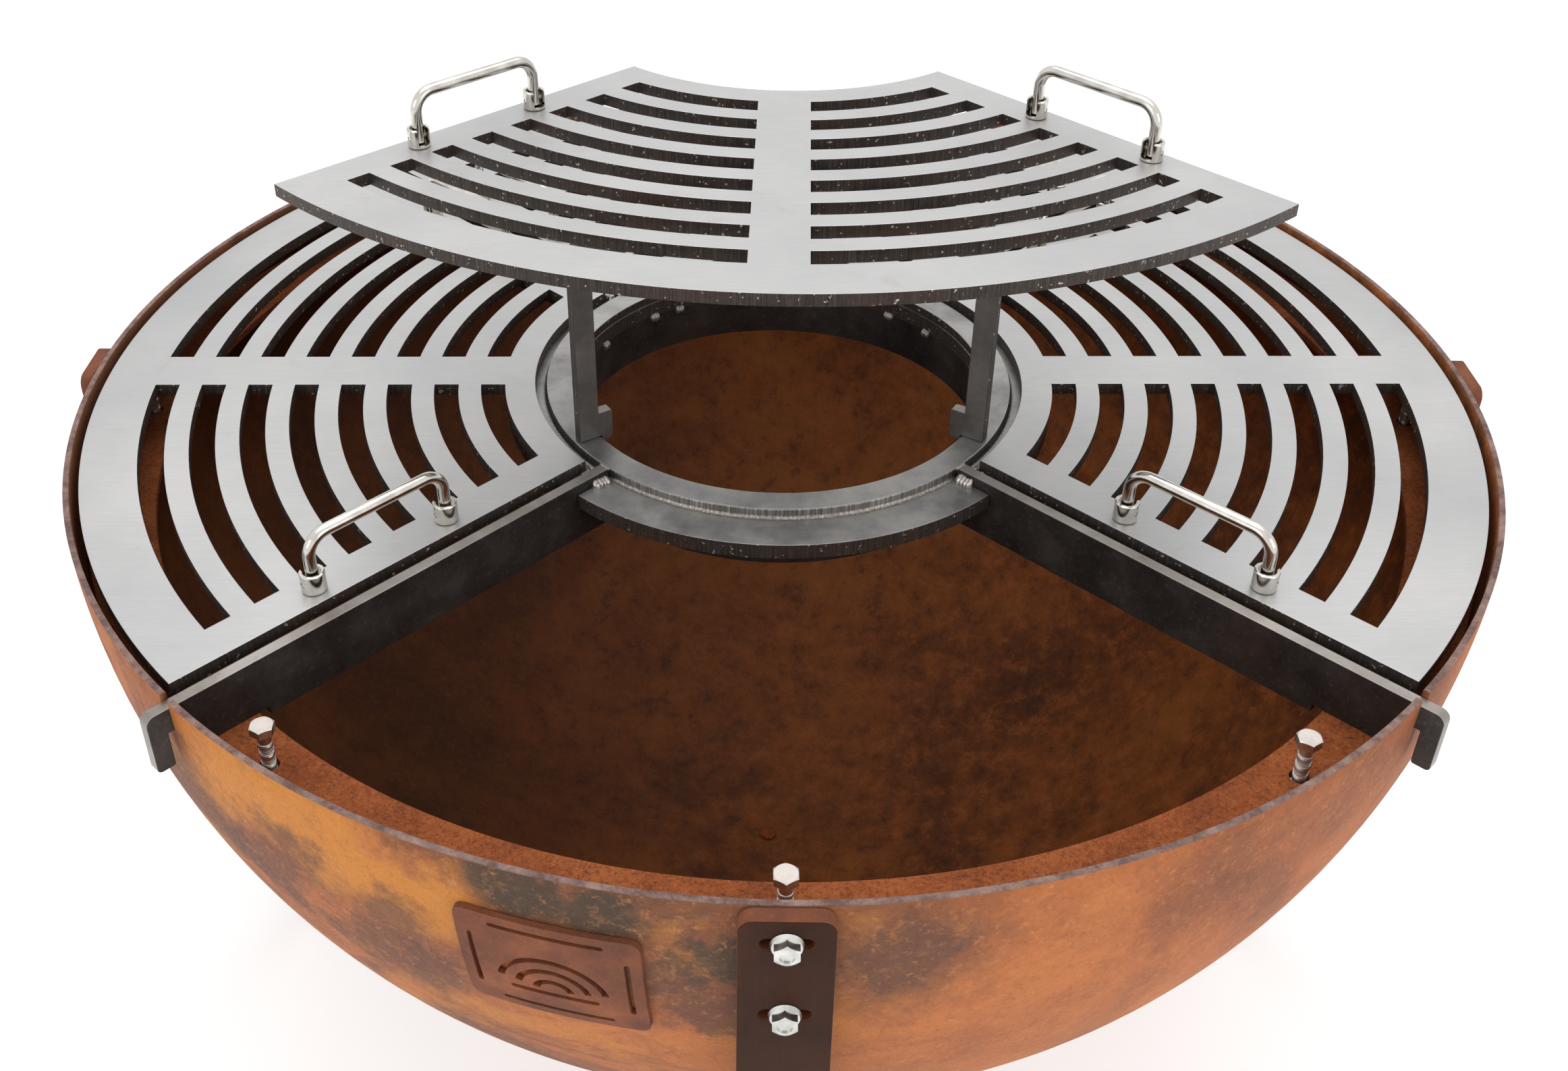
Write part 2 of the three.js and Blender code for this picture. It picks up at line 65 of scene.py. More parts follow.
HANDLE = {"along": 334, "inset": 25.8, "spacing": 100, "rise": 38, "rod": 4, "bend": 14, "pivot": 7}
SOCKET = {"radius": 7.9, "bore": 5.6, "height": 14, "floor": 2.4, "slot": 9}
STAND = {"hub": 12, "thickness": 8, "bar": 20, "corner": 18, "post": (152, 167), "top": 151.2}
STAND_PLACES = {"front_left": 212.5, "front_right": 327.5, "rear": 90}
STAND_TAB = {"inner": 141.5, "outer": 150.2, "top": 14.5, "bottom": -9}
PLAQUE = {"azimuth": 254.7, "elevation": -9.1, "width": 102, "height": 88, "thickness": 3.2}

GRATE_PLACES = {
    "left": (0.0, 0.0, -3.0, 180.0),
    "right": (0.0, 0.0, -3.0, 0.0),
    "rear": (0.0, 0.0, -3.0, 90.0),
    "raised": (14.2, 311.0, 160.5, 267.4),
}
ARM_PLACES = {"rear_right": 45, "rear_left": 135, "front_left": 225, "front_right": 315}
LEG_PLACES = {"right": 0, "rear": 90, "left": 180, "front": 270}
SECTORS = (0, 90, 180, 270)
RING_BODY = "centre_ring_and_arms"

# Marks on the bowl's outside, painted shadows of the legs and marks in its rust: each one's azimuth, its
# depth below the rim and its radius.
LEG_SHADOWS = ((264, 30, 70), (275, 40, 60))
OCHRE_MARKS = ((233, 21, 50), (239, 35, 55), (245, 53, 45))
BROWN_MARKS = ((234, 85, 40), (243, 108, 50), (222.5, 90, 50), (276, 50, 25), (264, 90, 35))
OLIVE_MARKS = ((254, 11, 28), (258, 15, 26), (265, 45, 24))


def polar(radius, azimuth, height):
    a = math.radians(azimuth)
    return (radius * math.cos(a), radius * math.sin(a), height)


# ---- node helpers
def link_or_set(tree, value, socket):
    """Links the socket to a value that comes from a node, or else sets it."""
    if isinstance(value, bpy.types.NodeSocket):
        tree.links.new(value, socket)
    else:
        socket.default_value = value


def calculate(tree, operation, first, second):
    node = tree.nodes.new("ShaderNodeMath")
    node.operation = operation
    link_or_set(tree, first, node.inputs[0])
    link_or_set(tree, second, node.inputs[1])
    return node.outputs[0]


# ---- finishes
def colour(red, green, blue):
    """A colour given in ordinary 0 to 255 steps, as the linear values a shader takes."""
    def linear(step):
        value = step / 255
        return value / 12.92 if value <= 0.04045 else ((value + 0.055) / 1.055) ** 2.4
    return (linear(red), linear(green), linear(blue), 1.0)


class Finish:
    """One material, built up from nodes on the pieces' own coordinates, in metres.

    A shade is three 0 to 255 steps, four linear values or the socket of another node.
    """

    def __init__(self, name, metallic, roughness):
        self.material = bpy.data.materials.new(name)
        self.material.use_nodes = True
        self.tree = self.material.node_tree
        self.shader = self.tree.nodes["Principled BSDF"].inputs
        self.shader["Metallic"].default_value = metallic
        self.shader["Roughness"].default_value = roughness
        self.place = self.node("TexCoord").outputs["Object"]

    def node(self, kind, **links):
        """A shader node with some of its inputs linked or set."""
        node = self.tree.nodes.new("ShaderNode" + kind)
        for label, value in links.items():
            link_or_set(self.tree, value, node.inputs[label.replace("_", " ")])
        return node

    def noise(self, scale, detail, rough, distortion=0.0, stretch=None, turn=0.0):
        """Noise, which runs one way if it is stretched, with its grain turned about Z."""
        place = self.place
        if stretch:
            turned = (0, 0, math.radians(turn))
            place = self.node("Mapping", Vector=place, Rotation=turned, Scale=stretch).outputs["Vector"]
        node = self.node("TexNoise", Vector=place, Scale=scale, Detail=detail, Roughness=rough,
                         Distortion=distortion)
        return node.outputs["Fac"]

    def between(self, value, low, high, start=0.0, end=1.0):
        """value, taken from low..high to start..end and held there."""
        node = self.node("MapRange", Value=value, From_Min=low, From_Max=high, To_Min=start, To_Max=end)
        return node.outputs["Result"]

    def math(self, kind, first, second):
        return calculate(self.tree, kind, first, second)

    def times(self, first, second):
        return self.math("MULTIPLY", first, second)

    def mix(self, amount, first, second):
        node = self.tree.nodes.new("ShaderNodeMix")
        node.data_type = "RGBA"
        for label, value in (("Factor", amount), ("A", first), ("B", second)):
            shade = colour(*value) if isinstance(value, tuple) and len(value) == 3 else value
            link_or_set(self.tree, shade, node.inputs[label])
        return node.outputs["Result"]

    def wash(self, shade, pattern, low, high, start, end, tint):
        """The shade with a tint over it, as strong as the pattern's low..high taken to start..end."""
        return self.mix(self.between(pattern, low, high, start, end), shade, tint)

    def steps(self, value, *stops):
        """A run of colours along value, each stop a position and a colour."""
        node = self.node("ValToRGB", Fac=value)
        ramp = node.color_ramp
        while len(ramp.elements) < len(stops):
            ramp.elements.new(0.5)
        for element, (position, shade) in zip(ramp.elements, stops):
            element.position = position
            element.color = colour(*shade)
        return node.outputs["Color"]

    def axis(self, name):
        return self.node("SeparateXYZ", Vector=self.place).outputs[name]

    def distance_from(self, x, y, z):
        node = self.tree.nodes.new("ShaderNodeVectorMath")
        node.operation = "DISTANCE"
        link_or_set(self.tree, self.place, node.inputs[0])
        node.inputs[1].default_value = (x, y, z)
        return node.outputs["Value"]

    def patches(self, shade, marks, waver, strength, tint):
        """The shade with a tint inside the marks, whose edges are soft and wander."""
        edge = self.times(self.math("SUBTRACT", self.noise(14.0, 8, 0.72), 0.5), waver)
        total = 0.0
        for azimuth, depth, radius in marks:
            x, y, z = polar(math.sqrt(BOWL["outer"] ** 2 - depth ** 2) * MM, azimuth, RIM - depth * MM)
            away = self.math("ADD", self.distance_from(x, y, z), edge)
            inside = self.between(away, radius * 0.7 * MM, radius * 1.25 * MM, 1.0, 0.0)
            total = self.math("MAXIMUM", total, inside)
        return self.mix(self.times(total, strength), shade, tint)

    def relief(self, height, depth, strength):
        """Bump of the given depth in metres, laid over any bump made before it."""
        node = self.node("Bump", Height=height, Distance=depth, Strength=strength)
        normal = self.shader["Normal"]
        if normal.is_linked:
            self.tree.links.new(normal.links[0].from_socket, node.inputs["Normal"])
        self.tree.links.new(node.outputs["Normal"], normal)

    def paint(self, shade):
        self.tree.links.new(shade, self.shader["Base Color"])

    def gloss(self, pattern, low, high):
        """Roughness that follows a pattern."""
        self.tree.links.new(self.between(pattern, 0.3, 0.7, low, high), self.shader["Roughness"])


def bowl_rust_and_painted_shading():
    """Weathered steel: orange with ochre, brown and olive marks and painted shadows of the legs outside,
    darker and browner inside, with painted light towards +X and painted shade towards -X.
    """
    f = Finish("bowl_rust_and_painted_shading", 0.0, 0.8)
    blend = f.math("ADD", f.times(f.noise(3.4, 8, 0.62, 0.9), 0.6),
                  f.times(f.noise(9.0, 8, 0.7, 0.7), 0.4))
    smoke = f.noise(6.0, 9, 0.7, 0.8, (1.0, 1.0, 1.9))
    mottle = f.noise(48.0, 8, 0.8)
    speck = f.noise(170.0, 5, 0.75)
    grain = f.noise(420.0, 3, 0.7)
    skin = f.between(f.distance_from(0, 0, RIM), 0.4975, 0.4985)
    across, height = f.axis("X"), f.axis("Z")

    outside = f.steps(blend, (0.32, (108, 64, 40)), (0.43, (138, 77, 40)), (0.51, (164, 92, 44)),
                      (0.60, (182, 105, 48)), (0.72, (146, 82, 42)))
    left = f.between(across, -0.05, 0.12, 1.0, 0.12)
    # Painted shadows of the legs: a darker brown beside each leg.
    outside = f.patches(outside, LEG_SHADOWS, 0.12, 0.75, (112, 66, 38))
    outside = f.mix(f.times(f.between(smoke, 0.50, 0.60, 0.0, 0.7), left), outside, (92, 58, 38))
    ochre = f.between(f.noise(6.0, 8, 0.65, stretch=(1, 1, 1.5), turn=40), 0.54, 0.64, 0.0, 0.7)
    outside = f.mix(f.times(ochre, left), outside, (188, 120, 40))
    outside = f.patches(outside, OCHRE_MARKS, 0.17, 0.85, (194, 122, 36))
    outside = f.patches(outside, BROWN_MARKS, 0.18, 0.75, (88, 54, 40))
    outside = f.patches(outside, OLIVE_MARKS, 0.13, 0.85, (54, 45, 31))
    outside = f.wash(outside, mottle, 0.53, 0.68, 0.0, 0.5, (112, 62, 34))
    outside = f.wash(outside, mottle, 0.30, 0.45, 0.35, 0.0, (204, 130, 70))
    outside = f.wash(outside, speck, 0.55, 0.68, 0.0, 0.35, (206, 138, 86))

    inside = f.steps(blend, (0.30, (70, 36, 12)), (0.43, (110, 58, 18)), (0.52, (138, 74, 24)),
                     (0.61, (154, 90, 32)), (0.72, (108, 64, 24)))
    # Painted light inside: lighter mottled patches, strongest towards +X.
    right = f.between(across, -0.20, 0.22, 0.2, 1.0)
    painted_light = f.times(f.between(mottle, 0.50, 0.62, 0.0, 0.75), right)
    inside = f.mix(painted_light, inside, (176, 96, 38))
    inside = f.wash(inside, mottle, 0.36, 0.47, 0.6, 0.0, (58, 28, 10))
    # Painted shade inside: darker towards -X.
    inside = f.wash(inside, across, -0.30, 0.02, 0.55, 0.0, (54, 28, 10))
    inside = f.wash(inside, speck, 0.54, 0.70, 0.0, 0.3, (150, 84, 36))

    shade = f.wash(f.mix(skin, inside, outside), grain, 0.55, 0.75, 0.0, 0.3, (92, 50, 24))
    # The rim band: purple-brown, mottled with a lighter tone that is partly painted highlight.
    edge = f.mix(f.between(mottle, 0.42, 0.62), (94, 68, 62), (146, 118, 108))
    f.paint(f.mix(f.between(height, RIM - 0.0012, RIM - 0.0004), shade, edge))
    f.gloss(grain, 0.62, 0.88)
    f.relief(mottle, 0.0007, 0.5)
    f.relief(speck, 0.0005, 0.6)
    return f.material


def bright_metal(name, light, dark, roughness):
    """Plated or polished steel, a little uneven in its gloss."""
    f = Finish(name, 1.0, roughness)
    film = f.noise(90.0, 4, 0.5)
    f.paint(f.mix(f.between(film, 0.35, 0.65), dark, light))
    f.gloss(film, roughness * 0.7, roughness * 1.5)
    f.relief(f.noise(900.0, 2, 0.5), 0.00002, 0.15)
    return f.material


def layered(name, metallic, roughness, patterns, stops, washes=(), gloss=None, reliefs=(), plain=()):
    """A run of colours along the first pattern, with washes, gloss and relief that follow any of them.

    A pattern is what noise takes, and each wash, gloss and relief starts with the name of its pattern.
    """
    f = Finish(name, metallic, roughness)
    noises = {label: f.noise(*pattern) for label, pattern in patterns.items()}
    shade = f.steps(next(iter(noises.values())), *stops)
    for label, *amounts in washes:
        shade = f.wash(shade, noises[label], *amounts)
    f.paint(shade)
    if gloss:
        f.gloss(noises[gloss[0]], *gloss[1:])
    for label, *amounts in reliefs:
        f.relief(noises[label], *amounts)
    for label, value in plain:
        f.shader[label].default_value = value
    return f.material


# The bowl's rust, with painted shadows of the legs outside and painted light and shade inside.
RUST = bowl_rust_and_painted_shading()
# Fresh, sandy rust, orange-brown with dark pits.
SANDY_RUST = layered(
    "flange_rust", 0.0, 0.95, {"cloud": (22, 6, 0.65), "sand": (420, 5, 0.85)},
    [(0.3, (132, 64, 26)), (0.5, (162, 84, 36)), (0.7, (180, 100, 48))],
    [("sand", 0.36, 0.50, 0.85, 0.0, (78, 34, 14)), ("sand", 0.55, 0.70, 0.0, 0.65, (208, 130, 74))],
    reliefs=[("sand", 0.0014, 1.0)],
)
# The plaque's darker, smoother rust.
PLAQUE_RUST = layered(
    "plaque_rust", 0.0, 0.8, {"cloud": (26, 8, 0.7), "grain": (380, 4, 0.75)},
    [(0.32, (82, 44, 26)), (0.5, (110, 58, 32)), (0.68, (138, 76, 40))],
    [("grain", 0.54, 0.74, 0.0, 0.5, (150, 80, 38))],
    reliefs=[("cloud", 0.0005, 0.5), ("grain", 0.0005, 0.7)],
)
# Brown-blackened flat bar with a fine upright grain and soft glints.
LEG_BROWN = layered(
    "leg_brown", 0.0, 0.45, {"cloud": (14, 6, 0.6), "grain": (9, 6, 0.7, 0.0, (60, 60, 1.2))},
    [(0.35, (42, 22, 13)), (0.5, (54, 29, 17)), (0.68, (70, 40, 25))],
    [("grain", 0.52, 0.75, 0.0, 0.35, (72, 47, 35))], ("grain", 0.34, 0.56), [("grain", 0.0002, 0.5)],
    [("Specular IOR Level", 0.2), ("Specular Tint", colour(190, 150, 130))],
)
ZINC = bright_metal("zinc_plate", (228, 228, 224), (188, 188, 184), 0.26)
STAINLESS = bright_metal("polished_stainless", (222, 218, 210), (196, 191, 184), 0.16)
SATIN = bright_metal("satin_stainless", (214, 206, 200), (184, 176, 170), 0.4)
# The ground top of the grates: light, cool grey, a fine grain along the sheet, faint stains.
SHEET = layered(
    "sheet_face", 0.85, 0.46,
    {"cloud": (5, 6, 0.6), "grain": (14, 5, 0.7, 0.0, (3, 130, 3)), "stain": (26, 8, 0.7, 0.5)},
    [(0.35, (184, 184, 184)), (0.65, (202, 201, 200))],
    [("grain", 0.35, 0.7, 0.0, 0.35, (166, 166, 167)), ("stain", 0.60, 0.76, 0.0, 0.30, (168, 148, 130))],
    ("grain", 0.36, 0.5), [("grain", 0.00006, 0.4)],
)
# A flame-cut edge: dark brown-grey, finely streaked across the plate, with bright burrs.
CUT = layered(
    "cut_edge", 0.45, 0.5,
    {"streaks": (10, 4, 0.6, 0.0, (90, 90, 3)), "rust": (16, 6, 0.65), "burr": (330, 2, 0.5)},
    [(0.30, (46, 41, 38)), (0.52, (68, 61, 56)), (0.74, (94, 85, 79))],
    [("rust", 0.50, 0.68, 0.0, 0.45, (84, 60, 48)), ("burr", 0.66, 0.73, 0.0, 0.8, (214, 208, 200))],
    reliefs=[("streaks", 0.0003, 0.6), ("burr", 0.0004, 0.7)],
)
# Satin mid grey of the turned rings.
RING = layered(
    "ring_face", 0.8, 0.45, {"cloud": (20, 7, 0.65), "fine": (260, 3, 0.6)},
    [(0.32, (128, 127, 126)), (0.5, (160, 159, 157)), (0.7, (188, 186, 182))],
    [("fine", 0.55, 0.75, 0.0, 0.4, (166, 160, 152))], ("cloud", 0.30, 0.48), [("fine", 0.00012, 0.5)],
)
# Blue-black mill scale with grey scuffs and a little rust.
SCALE = layered(
    "mill_scale", 0.5, 0.5, {"cloud": (24, 8, 0.7), "fine": (300, 4, 0.65), "rust": (8, 6, 0.6)},
    [(0.32, (40, 37, 36)), (0.5, (54, 50, 48)), (0.7, (74, 69, 66))],
    [("fine", 0.56, 0.74, 0.0, 0.5, (98, 92, 88)), ("rust", 0.56, 0.72, 0.0, 0.4, (80, 58, 46))],
    ("cloud", 0.42, 0.62), [("fine", 0.00015, 0.6)],
)
# The brushed upper edge of the arms, warm light grey.
ARM_TOP = layered(
    "arm_top", 0.8, 0.4, {"cloud": (12, 5, 0.6), "grain": (60, 5, 0.7)},
    [(0.35, (134, 127, 121)), (0.65, (170, 164, 158))],
    [("grain", 0.5, 0.75, 0.0, 0.5, (108, 96, 88))], reliefs=[("grain", 0.0001, 0.5)],
)
# Dark grey-brown plate, heat-marked, with worn edges.
STAND_FACE = layered(
    "stand_face", 0.6, 0.48, {"cloud": (30, 8, 0.7), "fine": (340, 4, 0.65)},
    [(0.32, (88, 84, 82)), (0.5, (106, 102, 99)), (0.7, (124, 119, 115))],
    [("fine", 0.58, 0.76, 0.0, 0.5, (136, 122, 112))], reliefs=[("fine", 0.00015, 0.6)],
)
# Silver weld metal with a blue-brown bloom.
WELD = layered(
    "weld_metal", 1.0, 0.28, {"bloom": (160, 4, 0.6)},
    [(0.35, (126, 120, 124)), (0.55, (196, 192, 188)), (0.7, (172, 150, 128))],
    reliefs=[("bloom", 0.0002, 0.5)],
)
# The blended weld round the top ring: bright, streaked across by the grinder.
FILLET = layered(
    "turned_fillet", 0.95, 0.34, {"streaks": (10, 4, 0.6, 0.0, (70, 70, 3))},
    [(0.32, (112, 107, 103)), (0.5, (140, 135, 130)), (0.70, (188, 183, 177))],
    reliefs=[("streaks", 0.0003, 0.6)],
)


# ---- making meshes
def arc(radius, start, end, centre=(0.0, 0.0), step=1.5):
    """Points on an arc, angles in degrees, both ends included."""
    count = max(1, math.ceil(abs(end - start) / step))
    angles = [math.radians(start + (end - start) * i / count) for i in range(count + 1)]
    return [(centre[0] + radius * math.cos(a), centre[1] + radius * math.sin(a)) for a in angles]


def circle(radius, centre=(0.0, 0.0), sides=48):
    return arc(radius, 0, 360 - 360 / sides, centre, 360 / sides)


def stadium(length, width, centre, turn=0.0):
    """A slot's outline with round ends."""
    half = (length - width) / 2
    outline = arc(width / 2, -90, 90, (half, 0), 15) + arc(width / 2, 90, 270, (-half, 0), 15)
    c, s = math.cos(math.radians(turn)), math.sin(math.radians(turn))
    return [(centre[0] + x * c - y * s, centre[1] + x * s + y * c) for x, y in outline]


def add_object(name, data):
    thing = bpy.data.objects.new(name, data)
    bpy.context.collection.objects.link(thing)
    return thing


def plain_mesh(thing):
    """The finished mesh of a curve or of a mesh with modifiers. The thing itself is removed."""
    graph = bpy.context.evaluated_depsgraph_get()
    mesh = bpy.data.meshes.new_from_object(thing.evaluated_get(graph))
    thing.modifiers.clear()
    bpy.data.objects.remove(thing)
    return mesh


def mesh_from(work, name):
    """A new mesh from a finished piece of bmesh work."""
    mesh = bpy.data.meshes.new(name)
    work.to_mesh(mesh)
    work.free()
    return mesh


def merged(mesh):
    """The mesh with its doubled vertices joined."""
    work = bmesh.new()
    work.from_mesh(mesh)
    bmesh.ops.remove_doubles(work, verts=work.verts, dist=1e-6)
    work.to_mesh(mesh)
    work.free()
    return mesh


def add_line(curve, points):
    """A run of straight lines through points in millimetres. A point without a z lies at 0."""
    spline = curve.splines.new("POLY")
    spline.points.add(len(points) - 1)
    for vertex, (x, y, *z) in zip(spline.points, points):
        vertex.co = (x * MM, y * MM, z[0] * MM if z else 0, 1)
    return spline


def flat_mesh(outlines, thickness, bevel=0.5):
    """A plate cut to the outlines, in millimetres, centred on z = 0, its edges eased."""
    curve = bpy.data.curves.new("outline", "CURVE")
    curve.dimensions = "2D"
    curve.fill_mode = "BOTH"
    curve.extrude = (thickness / 2 - bevel) * MM
    curve.bevel_depth = bevel * MM
    curve.bevel_resolution = 1
    curve.offset = -bevel * MM
    for outline in outlines:
        add_line(curve, outline).use_cyclic_u = True
    return merged(plain_mesh(add_object("outline", curve)))


def turned_mesh(profile, sides=192):
    """A closed profile of (radius, height) in millimetres, turned about Z."""
    work = bmesh.new()
    rings = []
    for radius, height in profile:
        if radius < 1e-6:
            rings.append([work.verts.new((0, 0, height * MM))] * sides)
        else:
            ring = circle(radius, sides=sides)
            rings.append([work.verts.new((x * MM, y * MM, height * MM)) for x, y in ring])
    for lower, upper in zip(rings, rings[1:] + rings[:1]):
        for i in range(sides):
            j = (i + 1) % sides
            corners = list(dict.fromkeys((lower[i], lower[j], upper[j], upper[i])))
            if len(corners) > 2:
                work.faces.new(corners)
    bmesh.ops.recalc_face_normals(work, faces=work.faces)
    return mesh_from(work, "turned")


def swept_mesh(path, radius, sides=20):
    """A round bar along a path of (x, y, z) in millimetres."""
    curve = bpy.data.curves.new("bar", "CURVE")
    curve.dimensions = "3D"
    curve.bevel_depth = radius * MM
    curve.bevel_resolution = sides // 4
    curve.use_fill_caps = True
    add_line(curve, path)
    return merged(plain_mesh(add_object("bar", curve)))


def carved(mesh, cutters, bevel=0.0):
    """The mesh with the cutters taken out of it, and its sharp edges eased."""
    body = add_object("body", mesh)
    tools = [add_object("cutter", cutter) for cutter in cutters]
    for tool in tools:
        cut = body.modifiers.new("cut", "BOOLEAN")
        cut.object = tool
        cut.solver = "EXACT"
    if bevel:
        ease = body.modifiers.new("ease", "BEVEL")
        ease.width = bevel * MM
        ease.segments = 2
        ease.angle_limit = math.radians(40)
    result = plain_mesh(body)
    for tool in tools:
        bpy.data.objects.remove(tool)
    return result


def block_mesh(x, y, z):
    """A cutter with corners at the given pairs, in millimetres."""
    work = bmesh.new()
    bmesh.ops.create_cube(work, size=1.0)
    for vertex in work.verts:
        vertex.co = [((lo + hi) / 2 + c * (hi - lo)) * MM for c, (lo, hi) in zip(vertex.co, (x, y, z))]
    return mesh_from(work, "block")


def turn_z(degrees):
    return Matrix.Rotation(math.radians(degrees), 4, "Z")


def shift(x, y, z):
    return Matrix.Translation((x * MM, y * MM, z * MM))


UPRIGHT = Matrix.Rotation(math.radians(90), 4, "X")  # a side view drawn flat, stood up on its edge
AT_RIM = Matrix.Translation((0, 0, RIM))


def moved(mesh, matrix):
    copy = mesh.copy()
    copy.transform(matrix)
    return copy


def joined(meshes):
    work = bmesh.new()
    for mesh in meshes:
        work.from_mesh(mesh)
    return mesh_from(work, "joined")


def piece(name, mesh, finishes, body, nodes=(), smooth=20):
    """A finished piece in its final place, riding on a body and standing for some CAD nodes."""
    mesh.name = name
    for finish in finishes:
        mesh.materials.append(finish)
    mesh.shade_smooth()
    mesh.set_sharp_from_angle(angle=math.radians(smooth))
    thing = add_object(name, mesh)
    if nodes:
        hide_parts(*nodes)
    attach(thing, body)
    return thing


def mark_edges(mesh, level=0.6):
    """Gives the second finish to every face that isn't the top or the underside of the plate."""
    for face in mesh.polygons:
        face.material_index = 0 if abs(face.normal.z) > level else 1
    return mesh


# ---- fixings made by node trees
class Tree:
    """A geometry node tree with named inputs."""

    def __init__(self, name, inputs):
        self.tree = bpy.data.node_groups.new(name, "GeometryNodeTree")
        face = self.tree.interface
        face.new_socket("Geometry", in_out="OUTPUT", socket_type="NodeSocketGeometry")
        for label, kind in inputs.items():
            face.new_socket(label, in_out="INPUT", socket_type="NodeSocket" + kind)
        self.inputs = self.add("NodeGroupInput").outputs

    def add(self, kind, settings=None, **values):
        """A node with its settings and its input sockets filled from values or other nodes.

        Its kind is a geometry node's unless it says otherwise.
        """
        plain = kind.startswith(("Function", "Shader", "Node"))
        node = self.tree.nodes.new(kind if plain else "GeometryNode" + kind)
        for key, setting in (settings or {}).items():
            setattr(node, key, setting)
        for key, value in values.items():
            socket = node.inputs[key.replace("_", " ")]
            for one in value if isinstance(value, list) else [value]:
                link_or_set(self.tree, one, socket)
        return node

    def out(self, kind, settings=None, **values):
        return next(o for o in self.add(kind, settings, **values).outputs if o.enabled)

    def math(self, operation, first, second):
        return calculate(self.tree, operation, first, second)

    def times(self, first, second):
        return self.math("MULTIPLY", first, second)

    def raised(self, geometry, distance, **more):
        """The geometry moved up by a distance."""
        up = self.out("ShaderNodeCombineXYZ", Z=distance)
        return self.out("Transform", Geometry=geometry, Translation=up, **more)

    def finish(self, geometry):
        solid = self.out("RealizeInstances", Geometry=geometry)
        coated = self.out("SetMaterial", Geometry=solid, Material=self.inputs["Finish"])
        end = self.tree.nodes.new("NodeGroupOutput")
        self.tree.links.new(coated, end.inputs[0])

    def run(self, values, places=None):
        """The plain mesh that the tree makes from the values, on the given places if it wants some."""
        mesh = places or bpy.data.meshes.new("made")
        thing = add_object("made", mesh)
        modifier = thing.modifiers.new("made", "NODES")
        modifier.node_group = self.tree
        for item in self.tree.interface.items_tree:
            if item.in_out == "INPUT" and item.name in values:
                modifier[item.identifier] = values[item.name]
        return plain_mesh(thing)


def bolt_tree():
    """A hexagon bolt hanging from its head: the head's top is at z = 0, the thread winds up the shank."""
    lengths = ("Across Flats", "Head", "Flange Radius", "Flange", "Shank Radius", "Shank", "Thread", "Pitch",
               "Dish", "Crown")
    t = Tree("hexagon_bolt", {**dict.fromkeys(lengths, "Float"), "Finish": "Material"})
    flats, head, wide, flange, thick, shank, thread, pitch, dish, crown = (t.inputs[name] for name in lengths)
    exact = {"solver": "EXACT"}
    corner = t.math("DIVIDE", flats, math.sqrt(3))
    prism = t.out("MeshCylinder", Vertices=6, Radius=corner, Depth=head)
    prism = t.raised(prism, t.times(head, -0.5), Rotation=(0, 0, math.radians(30)))
    cone = t.out("MeshCone", Vertices=48, Depth=head, Radius_Top=t.times(flats, crown),
                 Radius_Bottom=t.times(corner, 2.2))
    cone = t.raised(cone, t.times(head, -1.0))
    hexagon = t.out("MeshBoolean", {"operation": "INTERSECT", **exact}, Mesh_2=[prism, cone])
    hollow = t.out("MeshCylinder", Vertices=32, Radius=dish, Depth=0.0018)
    cut = {"operation": "DIFFERENCE", **exact}
    dished = t.out("MeshBoolean", cut, Mesh_1=hexagon, Mesh_2=hollow)
    choice = {"Switch": t.math("GREATER_THAN", dish, 0.0), "False": hexagon, "True": dished}
    hexagon = t.out("Switch", {"input_type": "GEOMETRY"}, **choice)
    washer = t.out("MeshCone", Vertices=48, Depth=flange, Radius_Bottom=wide,
                   Radius_Top=t.times(wide, 0.9))
    under_head = t.times(t.math("ADD", head, flange), -1.0)
    washer = t.raised(washer, under_head)
    core = t.out("MeshCylinder", Vertices=32, Radius=thick, Depth=shank)
    core = t.raised(core, t.math("SUBTRACT", under_head, t.times(shank, 0.5)))
    helix = t.out("CurveSpiral", Resolution=20, Rotations=t.math("DIVIDE", thread, pitch),
                  Start_Radius=thick, End_Radius=thick, Height=thread)
    ridge = t.out("CurvePrimitiveCircle", Resolution=3, Radius=t.times(pitch, 0.42))
    winding = t.out("CurveToMesh", Curve=helix, Profile_Curve=ridge, Fill_Caps=True)
    winding = t.raised(winding, t.math("SUBTRACT", under_head, shank))
    t.finish(t.out("JoinGeometry", Geometry=[winding, core, washer, hexagon]))
    return t


def set_out_tree():
    """Sets a part out on points, its Z axis along each point's "out" direction."""
    t = Tree("set_out", {"Places": "Geometry", "Part": "Object", "Finish": "Material"})
    out = t.add("InputNamedAttribute", {"data_type": "FLOAT_VECTOR"}, Name="out")
    turn = t.out("FunctionNodeAlignRotationToVector", Vector=out.outputs["Attribute"])
    part = t.add("ObjectInfo", Object=t.inputs["Part"]).outputs["Geometry"]
    t.finish(t.out("InstanceOnPoints", Points=t.inputs["Places"], Instance=part, Rotation=turn))
    return t


